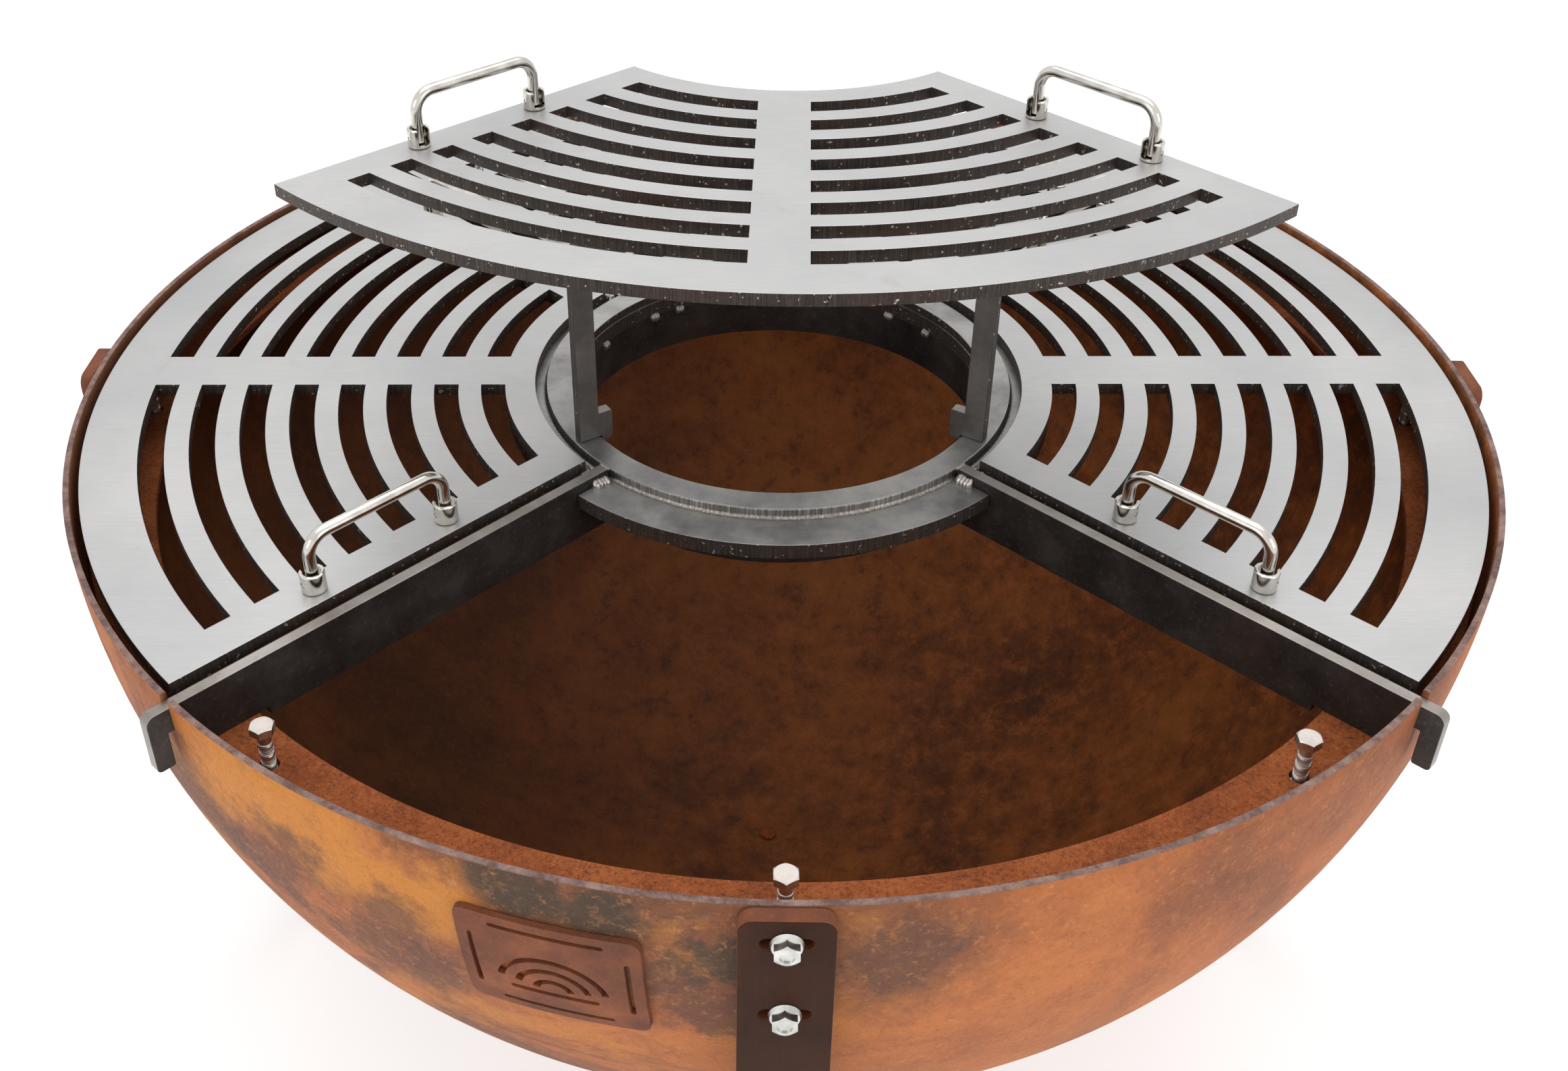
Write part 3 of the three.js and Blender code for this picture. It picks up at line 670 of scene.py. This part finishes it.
def weld_tree():
    """A weld bead along a path: overlapping scales of slightly uneven size."""
    t = Tree("weld_bead", {
        "Path": "Geometry", "Radius": "Float", "Spacing": "Float", "Seed": "Int", "Finish": "Material",
    })
    line = t.out("MeshToCurve", Mesh=t.inputs["Path"])
    points = t.add("CurveToPoints", {"mode": "LENGTH"}, Curve=line, Length=t.inputs["Spacing"])
    scale = t.out("MeshUVSphere", Segments=14, Rings=8, Radius=t.inputs["Radius"])
    scale = t.out("Transform", Geometry=scale, Scale=(1.0, 1.0, 0.62))
    size = t.add("FunctionNodeRandomValue", {"data_type": "FLOAT_VECTOR"}, Seed=t.inputs["Seed"])
    size.inputs[0].default_value = (0.82, 0.82, 0.8)
    size.inputs[1].default_value = (1.1, 1.1, 1.2)
    t.finish(t.out(
        "InstanceOnPoints", Points=points.outputs["Points"], Instance=scale,
        Rotation=points.outputs["Rotation"], Scale=size.outputs[0],
    ))
    return t


BOLTS = bolt_tree()
SET_OUT = set_out_tree()
WELDS = weld_tree()


def set_out(part, finish, places):
    """The part's mesh on every place, each a point and a direction, points in millimetres."""
    points = bpy.data.meshes.new("places")
    points.from_pydata([[c * MM for c in point] for point, _ in places], [], [])
    points.transform(AT_RIM)
    directions = points.attributes.new("out", "FLOAT_VECTOR", "POINT")
    for item, (_, direction) in zip(directions.data, places):
        item.vector = direction
    sample = add_object("part", part)
    mesh = SET_OUT.run({"Part": sample, "Finish": finish}, points)
    bpy.data.objects.remove(sample)
    return mesh


def weld(paths, radius, spacing, seed, finish):
    """A bead along each path of points, in millimetres."""
    corners, edges = [], []
    for path in paths:
        edges += [(len(corners) + i, len(corners) + i + 1) for i in range(len(path) - 1)]
        corners += path
    line = bpy.data.meshes.new("seam")
    line.from_pydata([[c * MM for c in corner] for corner in corners], edges, [])
    line.transform(AT_RIM)
    values = {"Radius": radius * MM, "Spacing": spacing * MM, "Seed": seed, "Finish": finish}
    return WELDS.run(values, line)


# ---- bowl
def bowl_profile():
    """Both skins of the bowl, from the drain up the outside, over the eased rim and down the inside."""
    def skin(radius, start):
        lowest = 90 - math.degrees(math.asin(BOWL["drain"] / radius))
        return arc(radius, -start, -lowest, step=1.8)
    ease = 0.8
    first = math.degrees(ease / BOWL["outer"])
    rim = [(BOWL["outer"] - 0.25, -0.25), (BOWL["outer"] - ease, 0), (BOWL["inner"] + ease, 0),
           (BOWL["inner"] + 0.25, -0.25)]
    return skin(BOWL["outer"], first)[::-1] + rim + skin(BOWL["inner"], first)


def make_bowl():
    half = ARM_NOTCH["slot"] / 2
    cutters = []
    for azimuth in ARM_PLACES.values():
        slot = block_mesh((470, 520), (-half, half), (ARM_NOTCH["slot_bottom"], 10))
        cutters.append(moved(slot, turn_z(azimuth)))
    for azimuth in LEG_PLACES.values():
        for depth in LEG_BOLTS["depths"]:
            drill = swept_mesh([(470, 0, depth), (520, 0, depth)], LEG_BOLTS["hole"])
            cutters.append(moved(drill, turn_z(azimuth + BOWL["twist"])))
    bowl = carved(turned_mesh(bowl_profile(), 240), cutters)
    piece("fire_bowl_shell", moved(bowl, AT_RIM), [RUST], "fire_bowl", ["bowl"], smooth=30)


def levelling_azimuths():
    return [s + BOWL["twist"] + o for s in SECTORS for o in (-LEVELLING["spread"], 0, LEVELLING["spread"])]


def make_flange():
    holes = [circle(FLANGE["hole"], polar(LEVELLING["radius"], a, 0)[:2], 32) for a in levelling_azimuths()]
    rings = [circle(FLANGE["outer"] - 0.4, sides=240), circle(FLANGE["inner"], sides=240)]
    lift = shift(0, 0, FLANGE["top"] - FLANGE["thickness"] / 2)
    mesh = moved(flat_mesh(rings + holes, FLANGE["thickness"], 0.6), AT_RIM @ lift)
    piece("levelling_flange", mesh, [SANDY_RUST], "fire_bowl", ["bowl_flange"])


def make_drain_plug():
    inside = -BOWL["inner"]
    stem, head = BOWL["drain"] - 0.4, BOWL["drain"] + 2
    profile = [(0, inside - 5), (stem - 0.8, inside - 5), (stem, inside - 4.2), (stem, inside + 0.4),
               (head, inside + 0.4), (head, inside + 2.2), (head - 1.2, inside + 3.4), (0, inside + 3.4)]
    mesh = moved(turned_mesh(profile, 48), AT_RIM)
    piece("drain_plug_button", mesh, [SANDY_RUST], "fire_bowl", ["drain_plug"])


def make_plaque():
    """A small curved plate with a border of slots round three nested arches."""
    width, height, thickness = PLAQUE["width"], PLAQUE["height"], PLAQUE["thickness"]
    work = bmesh.new()
    bmesh.ops.create_grid(work, x_segments=26, y_segments=22, size=0.5)
    extruded = bmesh.ops.extrude_face_region(work, geom=work.faces[:])
    top = {v for v in extruded["geom"] if isinstance(v, bmesh.types.BMVert)}
    for vertex in work.verts:
        across, up = vertex.co.x * (width + 8) / BOWL["outer"], vertex.co.y * (height + 8) / BOWL["outer"]
        out = (BOWL["outer"] + 0.3 + (thickness if vertex in top else 0)) * MM
        level = out * math.cos(up)
        vertex.co = (level * math.sin(across), out * math.sin(up), level * math.cos(across))
    bmesh.ops.recalc_face_normals(work, faces=work.faces)
    slab = mesh_from(work, "slab")
    border, slot, corner, arch_foot = 8, 3.2, 7, -16
    x, y = width / 2 - corner, height / 2 - corner
    edge = []
    for turn, centre in zip(SECTORS, ((x, y), (-x, y), (-x, -y), (x, -y))):
        edge += arc(corner, turn, turn + 90, centre, 10)
    frame_edge = [(-90, -90), (90, -90), (90, 90), (-90, 90)]
    cutters = [flat_mesh([frame_edge, edge], 40, 0.01)]
    slots = [stadium(width * 0.62, slot, (0, s * (height / 2 - border))) for s in (-1, 1)]
    slots += [stadium(height * 0.56, slot, (s * (width / 2 - border), 0), 90) for s in (-1, 1)]
    slots += [stadium(50, 4, (0, arch_foot - 3.5))]
    for radius in (10, 20, 30):
        ends = ((radius + 2, 12, 168), (radius - 2, 168, 12))
        slots.append([point for end in ends for point in arc(*end, (0, arch_foot), 6)])
    cutters += [flat_mesh([outline], 40, 0.01) for outline in slots]
    cutters = [moved(cutter, shift(0, 0, BOWL["outer"])) for cutter in cutters]
    plate = carved(slab, cutters, 0.4)
    face_out = turn_z(90) @ Matrix.Rotation(math.radians(90), 4, "X")
    aim = turn_z(PLAQUE["azimuth"]) @ Matrix.Rotation(math.radians(-PLAQUE["elevation"]), 4, "Y")
    plate = moved(plate, AT_RIM @ aim @ face_out)
    piece("plaque_plate", plate, [PLAQUE_RUST], "fire_bowl", ["plaque"])


# ---- legs
def follow(stretches, distance):
    """Where a bent line has got to, as x, z and heading. It starts downwards and turns towards -X."""
    x = z = heading = 0.0
    for length, turn in stretches:
        step = min(max(distance, 0.0), length)
        part = turn * step / length
        if part:
            radius = length / turn
            x += radius * (math.cos(heading + part) - math.cos(heading))
            z -= radius * (math.sin(heading + part) - math.sin(heading))
        else:
            x -= step * math.sin(heading)
            z -= step * math.cos(heading)
        heading += part
        distance -= length
    return x, z, heading


def make_leg(side, azimuth):
    """Flat bar: drawn as one long strip with its slots, then bent at the knee and level at the floor."""
    half, corner, thickness = LEG["width"] / 2, LEG["corner"], LEG["thickness"]
    lean = math.radians(LEG["lean"])
    knee, ankle, bend_step = 14.0, FOOT["bend"] + thickness / 2, 0.08
    mitre = LEG["knee"] + math.tan(lean / 2) * thickness / 2
    start = mitre + math.tan(lean / 2) * knee
    ankle_height = FOOT["bend"] + thickness - RIM / MM
    slant = (mitre - ankle_height + ankle * math.sin(lean)) / math.cos(lean) - (start - mitre)
    rest = math.pi / 2 - lean
    stretches = [(knee * lean, lean), (slant, 0.0), (ankle * rest, rest), (FOOT["length"], 0.0)]
    marks = [0.0]
    for length, turn in stretches:
        steps = math.ceil(turn / bend_step) or 1
        marks += [marks[-1] + length * (i + 1) / steps for i in range(steps)]
    side_edge = [LEG_BOLTS["depths"][1] - 40, *(start - mark for mark in marks)]
    outline = [(-half, y) for y in side_edge] + [(half, y) for y in reversed(side_edge)]
    outline += arc(corner, 0, 90, (half - corner, LEG["top"] - corner), 7.5)
    outline += arc(corner, 90, 180, (corner - half, LEG["top"] - corner), 7.5)
    slots = [stadium(LEG_BOLTS["slot_length"], LEG_BOLTS["slot_width"], (0, d)) for d in LEG_BOLTS["depths"]]
    mesh = mark_edges(flat_mesh([outline, *slots], thickness, 0.5))
    middle = LEG["inner"] + thickness / 2
    mesh.transform(turn_z(90) @ UPRIGHT @ shift(0, 0, middle))
    for vertex in mesh.vertices:
        below = start - vertex.co.z / MM
        if below > 0:
            x, z, heading = follow(stretches, below)
            offset = vertex.co.x / MM - middle
            vertex.co.x = (middle + x + offset * math.cos(heading)) * MM
            vertex.co.z = (start + z - offset * math.sin(heading)) * MM
    mesh = moved(mesh, AT_RIM @ turn_z(azimuth + BOWL["twist"]))
    piece(f"leg_bar_{side}", mesh, [LEG_BROWN, PLAQUE_RUST], "fire_bowl", [f"leg_{side}"])


def make_leg_bolts():
    flange, head = 1.8, 5.7
    sizes = {
        "Across Flats": SPANNER, "Head": head * MM, "Flange Radius": 8.7 * MM, "Flange": flange * MM,
        "Shank Radius": 3.9 * MM, "Thread": 12 * MM, "Pitch": PITCH, "Dish": 4.0 * MM, "Crown": 0.43,
        "Finish": ZINC,
    }
    base = LEG["inner"] + LEG["thickness"] + 0.3 + flange + head
    for level, depth, shank in zip(("upper", "lower"), LEG_BOLTS["depths"], (17.0, 24.0)):
        bolt = BOLTS.run({**sizes, "Shank": shank * MM})
        turns = {side: azimuth + BOWL["twist"] for side, azimuth in LEG_PLACES.items()}
        places = [(polar(base, turn, depth), polar(1, turn, 0)) for turn in turns.values()]
        nodes = [f"leg_bolt_{side}_{level}" for side in turns]
        piece(f"leg_bolts_{level}", set_out(bolt, ZINC, places), [], "fire_bowl", nodes, 25)


# ---- levelling bolts
def make_levelling_bolts():
    sizes = {
        "Across Flats": SPANNER, "Head": 5.3 * MM, "Flange Radius": 5.6 * MM, "Flange": 0.3 * MM,
        "Shank Radius": 3.75 * MM, "Shank": 49 * MM, "Thread": 42 * MM, "Pitch": PITCH, "Crown": 0.49,
        "Finish": SATIN,
    }
    bolt = BOLTS.run(sizes)
    nut = BOLTS.run({**sizes, "Head": 6.4 * MM, "Shank": 0.5 * MM, "Thread": 0.4 * MM})
    places = [(polar(LEVELLING["radius"], a, LEVELLING["head_top"]), (0, 0, 1)) for a in levelling_azimuths()]
    covered, shown = places[:9], places[9:]
    hidden = set_out(bolt, SATIN, covered)
    piece("levelling_bolts_under_grates", hidden, [], "fire_bowl", smooth=25)
    for side, place in zip(("left", "middle", "right"), shown):
        name = f"levelling_bolt_{side}"
        piece(f"{name}_screw", set_out(bolt, SATIN, [place]), [], name, [name], 25)
    under = FLANGE["top"] - FLANGE["thickness"] - 0.2
    nuts = [((x, y, under), direction) for (x, y, _), direction in places]
    piece("levelling_nuts", set_out(nut, SANDY_RUST, nuts), [], "fire_bowl", smooth=25)


# ---- centre ring and arms
def eased_ring(size, ease):
    inner, outer, top, bottom = size["inner"], size["outer"], size["top"], size["bottom"]
    return [(inner + ease, bottom), (outer - ease, bottom), (outer, bottom + ease), (outer, top - ease),
            (outer - ease * 0.3, top - ease * 0.3), (outer - ease, top), (inner + ease, top),
            (inner + ease * 0.3, top - ease * 0.3), (inner, top - ease), (inner, bottom + ease)]


def make_rings():
    ring = moved(turned_mesh(eased_ring(TOP_RING, 1.0)), AT_RIM)
    for face in ring.polygons:
        if abs(face.normal.z) < 0.4:
            face.material_index = 1 if face.normal.xy.dot(face.center.xy) > 0 else 2
    piece("top_ring_band", ring, [RING, FILLET, CUT], RING_BODY, ["top_ring"])
    tube = moved(turned_mesh(eased_ring(COLLAR, 0.6)), AT_RIM)
    piece("collar_tube", tube, [SCALE], RING_BODY, ["collar"])
    outer, floor = SHELF["outer"], SHELF["notch_floor"]
    outline = []
    for azimuth in SECTORS:
        at_edge = math.degrees(math.asin(SHELF["notch"] / outer))
        at_floor = math.degrees(math.asin(SHELF["notch"] / floor))
        outline += arc(outer, azimuth - 45 + at_edge, azimuth + 45 - at_edge, step=1.5)
        outline += [polar(floor, azimuth + 45 + turn, 0)[:2] for turn in (-at_floor, at_floor)]
    thickness = SHELF["top"] - SHELF["bottom"]
    shelf = mark_edges(flat_mesh([outline, circle(SHELF["inner"], sides=240)], thickness, 0.5))
    shelf = moved(shelf, AT_RIM @ shift(0, 0, SHELF["bottom"] + thickness / 2))
    piece("shelf_ring_plate", shelf, [RING, CUT], RING_BODY, ["shelf_ring"])


def make_arm(side, azimuth):
    top, bottom = ARM["top"], ARM["bottom"]
    on_flange, under_shelf = FLANGE["top"] + 0.3, SHELF["bottom"] - 0.3
    tip, tip_bottom = ARM["tip"], ARM["tip_bottom"]
    butt, collar = TOP_RING["outer"] + 0.5, COLLAR["outer"] + 0.5
    outline = [
        (butt, top), (butt, under_shelf), (collar, under_shelf), (collar, bottom), (ARM["step"], bottom),
        (ARM["step"], on_flange), (ARM_NOTCH["inner"], on_flange), (ARM_NOTCH["inner"], ARM_NOTCH["top"]),
        (ARM_NOTCH["outer"], ARM_NOTCH["top"]), (ARM_NOTCH["outer"], tip_bottom + 1),
        (ARM_NOTCH["outer"] + 1, tip_bottom), *arc(3, 270, 360, (tip - 3, tip_bottom + 3), 10),
        *arc(6, 0, 90, (tip - 6, top - 6), 7.5),
    ]
    mesh = flat_mesh([outline], ARM["thickness"], 0.5)
    for face in mesh.polygons:
        if abs(face.normal.z) > 0.6:
            face.material_index = 0
        else:
            over_tip = face.center.x > ARM_NOTCH["outer"] * MM and face.normal.x > 0.1
            face.material_index = 1 if face.normal.y > 0.6 or over_tip else 2
    mesh = moved(mesh, AT_RIM @ turn_z(azimuth) @ UPRIGHT)
    piece(f"arm_bar_{side}", mesh, [SCALE, ARM_TOP, CUT], RING_BODY, [f"arm_{side}"])


def make_welds():
    seams = []
    for azimuth in ARM_PLACES.values():
        for hand in (-1, 1):
            beside = hand * (ARM["thickness"] / 2 + 1.6)
            path = [(TOP_RING["outer"] + 6 + step, beside, SHELF["top"] + 0.7) for step in (0, 4, 8)]
            seams.append([tuple(turn_z(azimuth) @ Vector(corner)) for corner in path])
    piece("arm_welds", weld(seams, 5.0, 2.0, 5, WELD), [], RING_BODY, smooth=180)
    butts = [[tuple(turn_z(azimuth) @ Vector((TOP_RING["outer"] + 0.3, side, TOP_RING["top"] - 0.8)))
              for side in (-3.2, 3.2)] for azimuth in ARM_PLACES.values()]
    piece("butt_welds", weld(butts, 1.7, 0.8, 7, ARM_TOP), [], RING_BODY, smooth=180)
    corner, reach = (TOP_RING["outer"] + 0.05, SHELF["top"] + 0.05), 2.6
    hollow = arc(reach, 180, 270, (corner[0] + reach, corner[1] + reach), 15)
    fillet = moved(turned_mesh([corner, *hollow[::-1]], 240), AT_RIM)
    gap = block_mesh((160, 190), (-4.6, 4.6), (-20, 0))
    cutters = [moved(gap, AT_RIM @ turn_z(azimuth)) for azimuth in ARM_PLACES.values()]
    piece("ring_fillet", carved(fillet, cutters), [FILLET], RING_BODY, smooth=50)
    tacks = [[polar(COLLAR["inner"] - 0.2, azimuth + step, -25.5) for step in (-0.8, 0.8)]
             for azimuth in (37, 52, 90, 120, 129, 151, 200, 250, 300)]
    piece("collar_tacks", weld(tacks, 3.8, 1.5, 3, RING), [], RING_BODY, smooth=180)


# ---- stand
def make_stand():
    top, bar, corner = STAND["top"], STAND["bar"], STAND["corner"]
    inner, outer = STAND["post"]
    tab_in, tab_out, tab_top, tab_bottom = (STAND_TAB[k] for k in ("inner", "outer", "top", "bottom"))
    foot = TOP_RING["top"] + 0.3
    hub = STAND["hub"]
    outline = [
        (hub + 0.3, top), (hub + 0.3, top - bar), (inner, top - bar), (inner, tab_top),
        *arc(1.8, 90, 180, (tab_in + 1.8, tab_top - 1.8), 15),
        (tab_in, tab_bottom + 3), (tab_in + 3, tab_bottom), (tab_out, tab_bottom), (tab_out, foot),
        (outer, foot),
        *arc(corner, 0, 90, (outer - corner, top - corner), 5),
    ]
    mesh = mark_edges(flat_mesh([outline], STAND["thickness"], 0.5))
    for face in mesh.polygons:
        if face.normal.y > 0.6:
            face.material_index = 2
    finishes = [STAND_FACE, CUT, ARM_TOP]
    for side, azimuth in STAND_PLACES.items():
        leg = moved(mesh, AT_RIM @ turn_z(azimuth) @ UPRIGHT)
        piece(f"stand_post_{side}", leg, finishes, "stand", [f"stand_leg_{side}"])
    ease, low = 0.8, top - bar
    profile = [(0, low), (hub - ease, low), (hub, low + ease), (hub, top - ease), (hub - ease, top), (0, top)]
    boss = moved(turned_mesh(profile, 64), AT_RIM)
    piece("stand_boss", boss, [STAND_FACE], "stand", ["stand_hub"])


# ---- grates
def grate_outlines():
    def edge_angle(radius, inset):
        return 45 - math.degrees(math.asin(inset / radius))
    inner, outer, edge = GRATE["inner"], GRATE["outer"], GRATE["edge"]
    a, b = edge_angle(outer, edge), edge_angle(inner, edge)
    outlines = [arc(outer, -a, a, step=1) + arc(inner, b, -b, step=1.5)]
    for row in range(SLOTS["rows"]):
        far = SLOTS["outermost"] - row * SLOTS["pitch"]
        near = far - SLOTS["width"]
        for side in (-1, 1):
            start = [side * math.degrees(math.asin(SLOTS["band"] / r)) for r in (far, near)]
            end = [side * edge_angle(r, SLOTS["end"]) for r in (far, near)]
            outlines.append(arc(far, start[0], end[0], step=1.5) + arc(near, end[1], start[1], step=1.5))
    return outlines


def socket_mesh():
    """A slotted cup, drilled for the pin, its seat at z = 0."""
    radius, bore, height, floor = (SOCKET[k] for k in ("radius", "bore", "height", "floor"))
    cup = turned_mesh([
        (0, 0.3), (radius - 0.5, 0.3), (radius, 0.8), (radius, height - 0.9), (radius - 0.3, height - 0.3),
        (radius - 0.9, height), (bore + 0.4, height), (bore, height - 0.4), (bore, floor), (0, floor),
    ], 48)
    half = SOCKET["slot"] / 2
    mouth = block_mesh((-half, half), (0, radius + 3), (floor, height + 3))
    drill = swept_mesh([(-radius - 3, 0, HANDLE["pivot"]), (radius + 3, 0, HANDLE["pivot"])], 1.75)
    return carved(cup, [mouth, drill], 0.25)


def handle_mesh():
    """A bent round rod with a cross pin in each end, standing on z = 0."""
    half, rise, bend, pivot = HANDLE["spacing"] / 2, HANDLE["rise"], HANDLE["bend"], HANDLE["pivot"]
    left = [(x, 0, z) for x, z in arc(bend, 180, 90, (bend - half, rise - bend), 6)]
    right = [(-x, y, z) for x, y, z in reversed(left)]
    rod = swept_mesh([(-half, 0, pivot - 3.5), *left, *right, (half, 0, pivot - 3.5)], HANDLE["rod"], 32)
    pins = [swept_mesh([(s * half - 7.4, 0, pivot), (s * half + 7.4, 0, pivot)], 1.5, 16) for s in (-1, 1)]
    return joined([rod, *pins])


def make_grate(name, place, plate, rod, socket):
    x0, y0, top, turn = place
    at = AT_RIM @ shift(x0, y0, top) @ turn_z(turn)
    sheet = moved(plate, at @ shift(0, 0, -GRATE["thickness"] / 2))
    piece(f"{name}_grate_sheet", sheet, [SHEET, CUT], f"{name}_grate", [f"{name}_grate_plate"])
    cups, nodes = [], []
    for hand, side in (("left", -1), ("right", 1)):
        edge = math.radians(45 * side)
        x = HANDLE["along"] * math.cos(edge) + HANDLE["inset"] * math.sin(abs(edge))
        y = HANDLE["along"] * math.sin(edge) - HANDLE["inset"] * side * math.cos(edge)
        local = at @ shift(x, y, 0) @ turn_z(225 if side > 0 else -45)
        body = f"{name}_grate_{hand}_handle"
        piece(f"{body}_bar", moved(rod, local), [STAINLESS], body, [f"{body}_rod"])
        for end, spot in (("inner", side), ("outer", -side)):
            cups.append(moved(socket, local @ shift(spot * HANDLE["spacing"] / 2, 0, 0)))
            nodes.append(f"{name}_grate_{hand}_{end}_socket")
    piece(f"{name}_grate_cups", joined(cups), [STAINLESS], f"{name}_grate", nodes)


# ---- the whole object
make_bowl()
make_flange()
make_drain_plug()
make_plaque()
for side, azimuth in LEG_PLACES.items():
    make_leg(side, azimuth)
make_leg_bolts()
make_levelling_bolts()
make_rings()
for side, azimuth in ARM_PLACES.items():
    make_arm(side, azimuth)
make_welds()
make_stand()
grate_plate = mark_edges(flat_mesh(grate_outlines(), GRATE["thickness"], 0.35))
handle_rod = handle_mesh()
handle_socket = socket_mesh()
for name, place in GRATE_PLACES.items():
    make_grate(name, place, grate_plate, handle_rod, handle_socket)


# ---- floor, light and camera
def make_floor():
    f = Finish("pale_floor", 0.0, 0.9)
    f.paint(f.mix(f.noise(3.0, 3, 0.5), (0.60, 0.60, 0.60, 1), (0.62, 0.62, 0.62, 1)))
    f.shader["Emission Color"].default_value = (1, 1, 1, 1)
    f.shader["Emission Strength"].default_value = 0.5
    mesh = bpy.data.meshes.new("floor")
    mesh.from_pydata([(-12, -12, 0), (12, -12, 0), (12, 12, 0), (-12, 12, 0)], [], [(0, 1, 2, 3)])
    mesh.materials.append(f.material)
    add_object("floor", mesh)


def add_softbox(name, place, aim, size, power):
    light = bpy.data.lights.new(name, "AREA")
    light.shape = "RECTANGLE"
    light.size, light.size_y = size
    light.energy = power
    lamp = add_object(name, light)
    lamp.location = place
    lamp.rotation_euler = (Vector(aim) - Vector(place)).to_track_quat("-Z", "Y").to_euler()


def make_light():
    world = bpy.data.worlds.new("studio")
    world.use_nodes = True
    background = world.node_tree.nodes["Background"].inputs
    background["Color"].default_value = (1, 1, 1, 1)
    background["Strength"].default_value = 1.0
    bpy.context.scene.world = world
    add_softbox("overhead", (0, 0.6, 3.4), (0, 0, RIM), (3.0, 3.0), 32)
    add_softbox("front_left", (-2.6, -2.6, 2.2), (0, 0, 0.4), (1.8, 1.8), 14)
    add_softbox("front_right", (2.6, -2.4, 1.8), (0, 0, 0.4), (1.8, 1.8), 12)


def make_camera():
    """Above the open sector, looking down at the ring."""
    data = bpy.data.cameras.new("camera")
    data.sensor_width = 36
    data.lens = 37.92
    data.shift_x = 0.0351
    data.shift_y = -0.0600
    camera = add_object("camera", data)
    yaw, pitch, roll = math.radians(-0.291), math.radians(90 - 34.152), math.radians(0.101)
    turn = Matrix.Rotation(yaw, 4, "Z") @ Matrix.Rotation(pitch, 4, "X") @ Matrix.Rotation(roll, 4, "Z")
    camera.matrix_world = Matrix.Translation((-0.0412, -1.0375, RIM + 0.6372)) @ turn
    bpy.context.scene.camera = camera


make_floor()
make_light()
make_camera()
bpy.context.scene.view_settings.view_transform = "Standard"
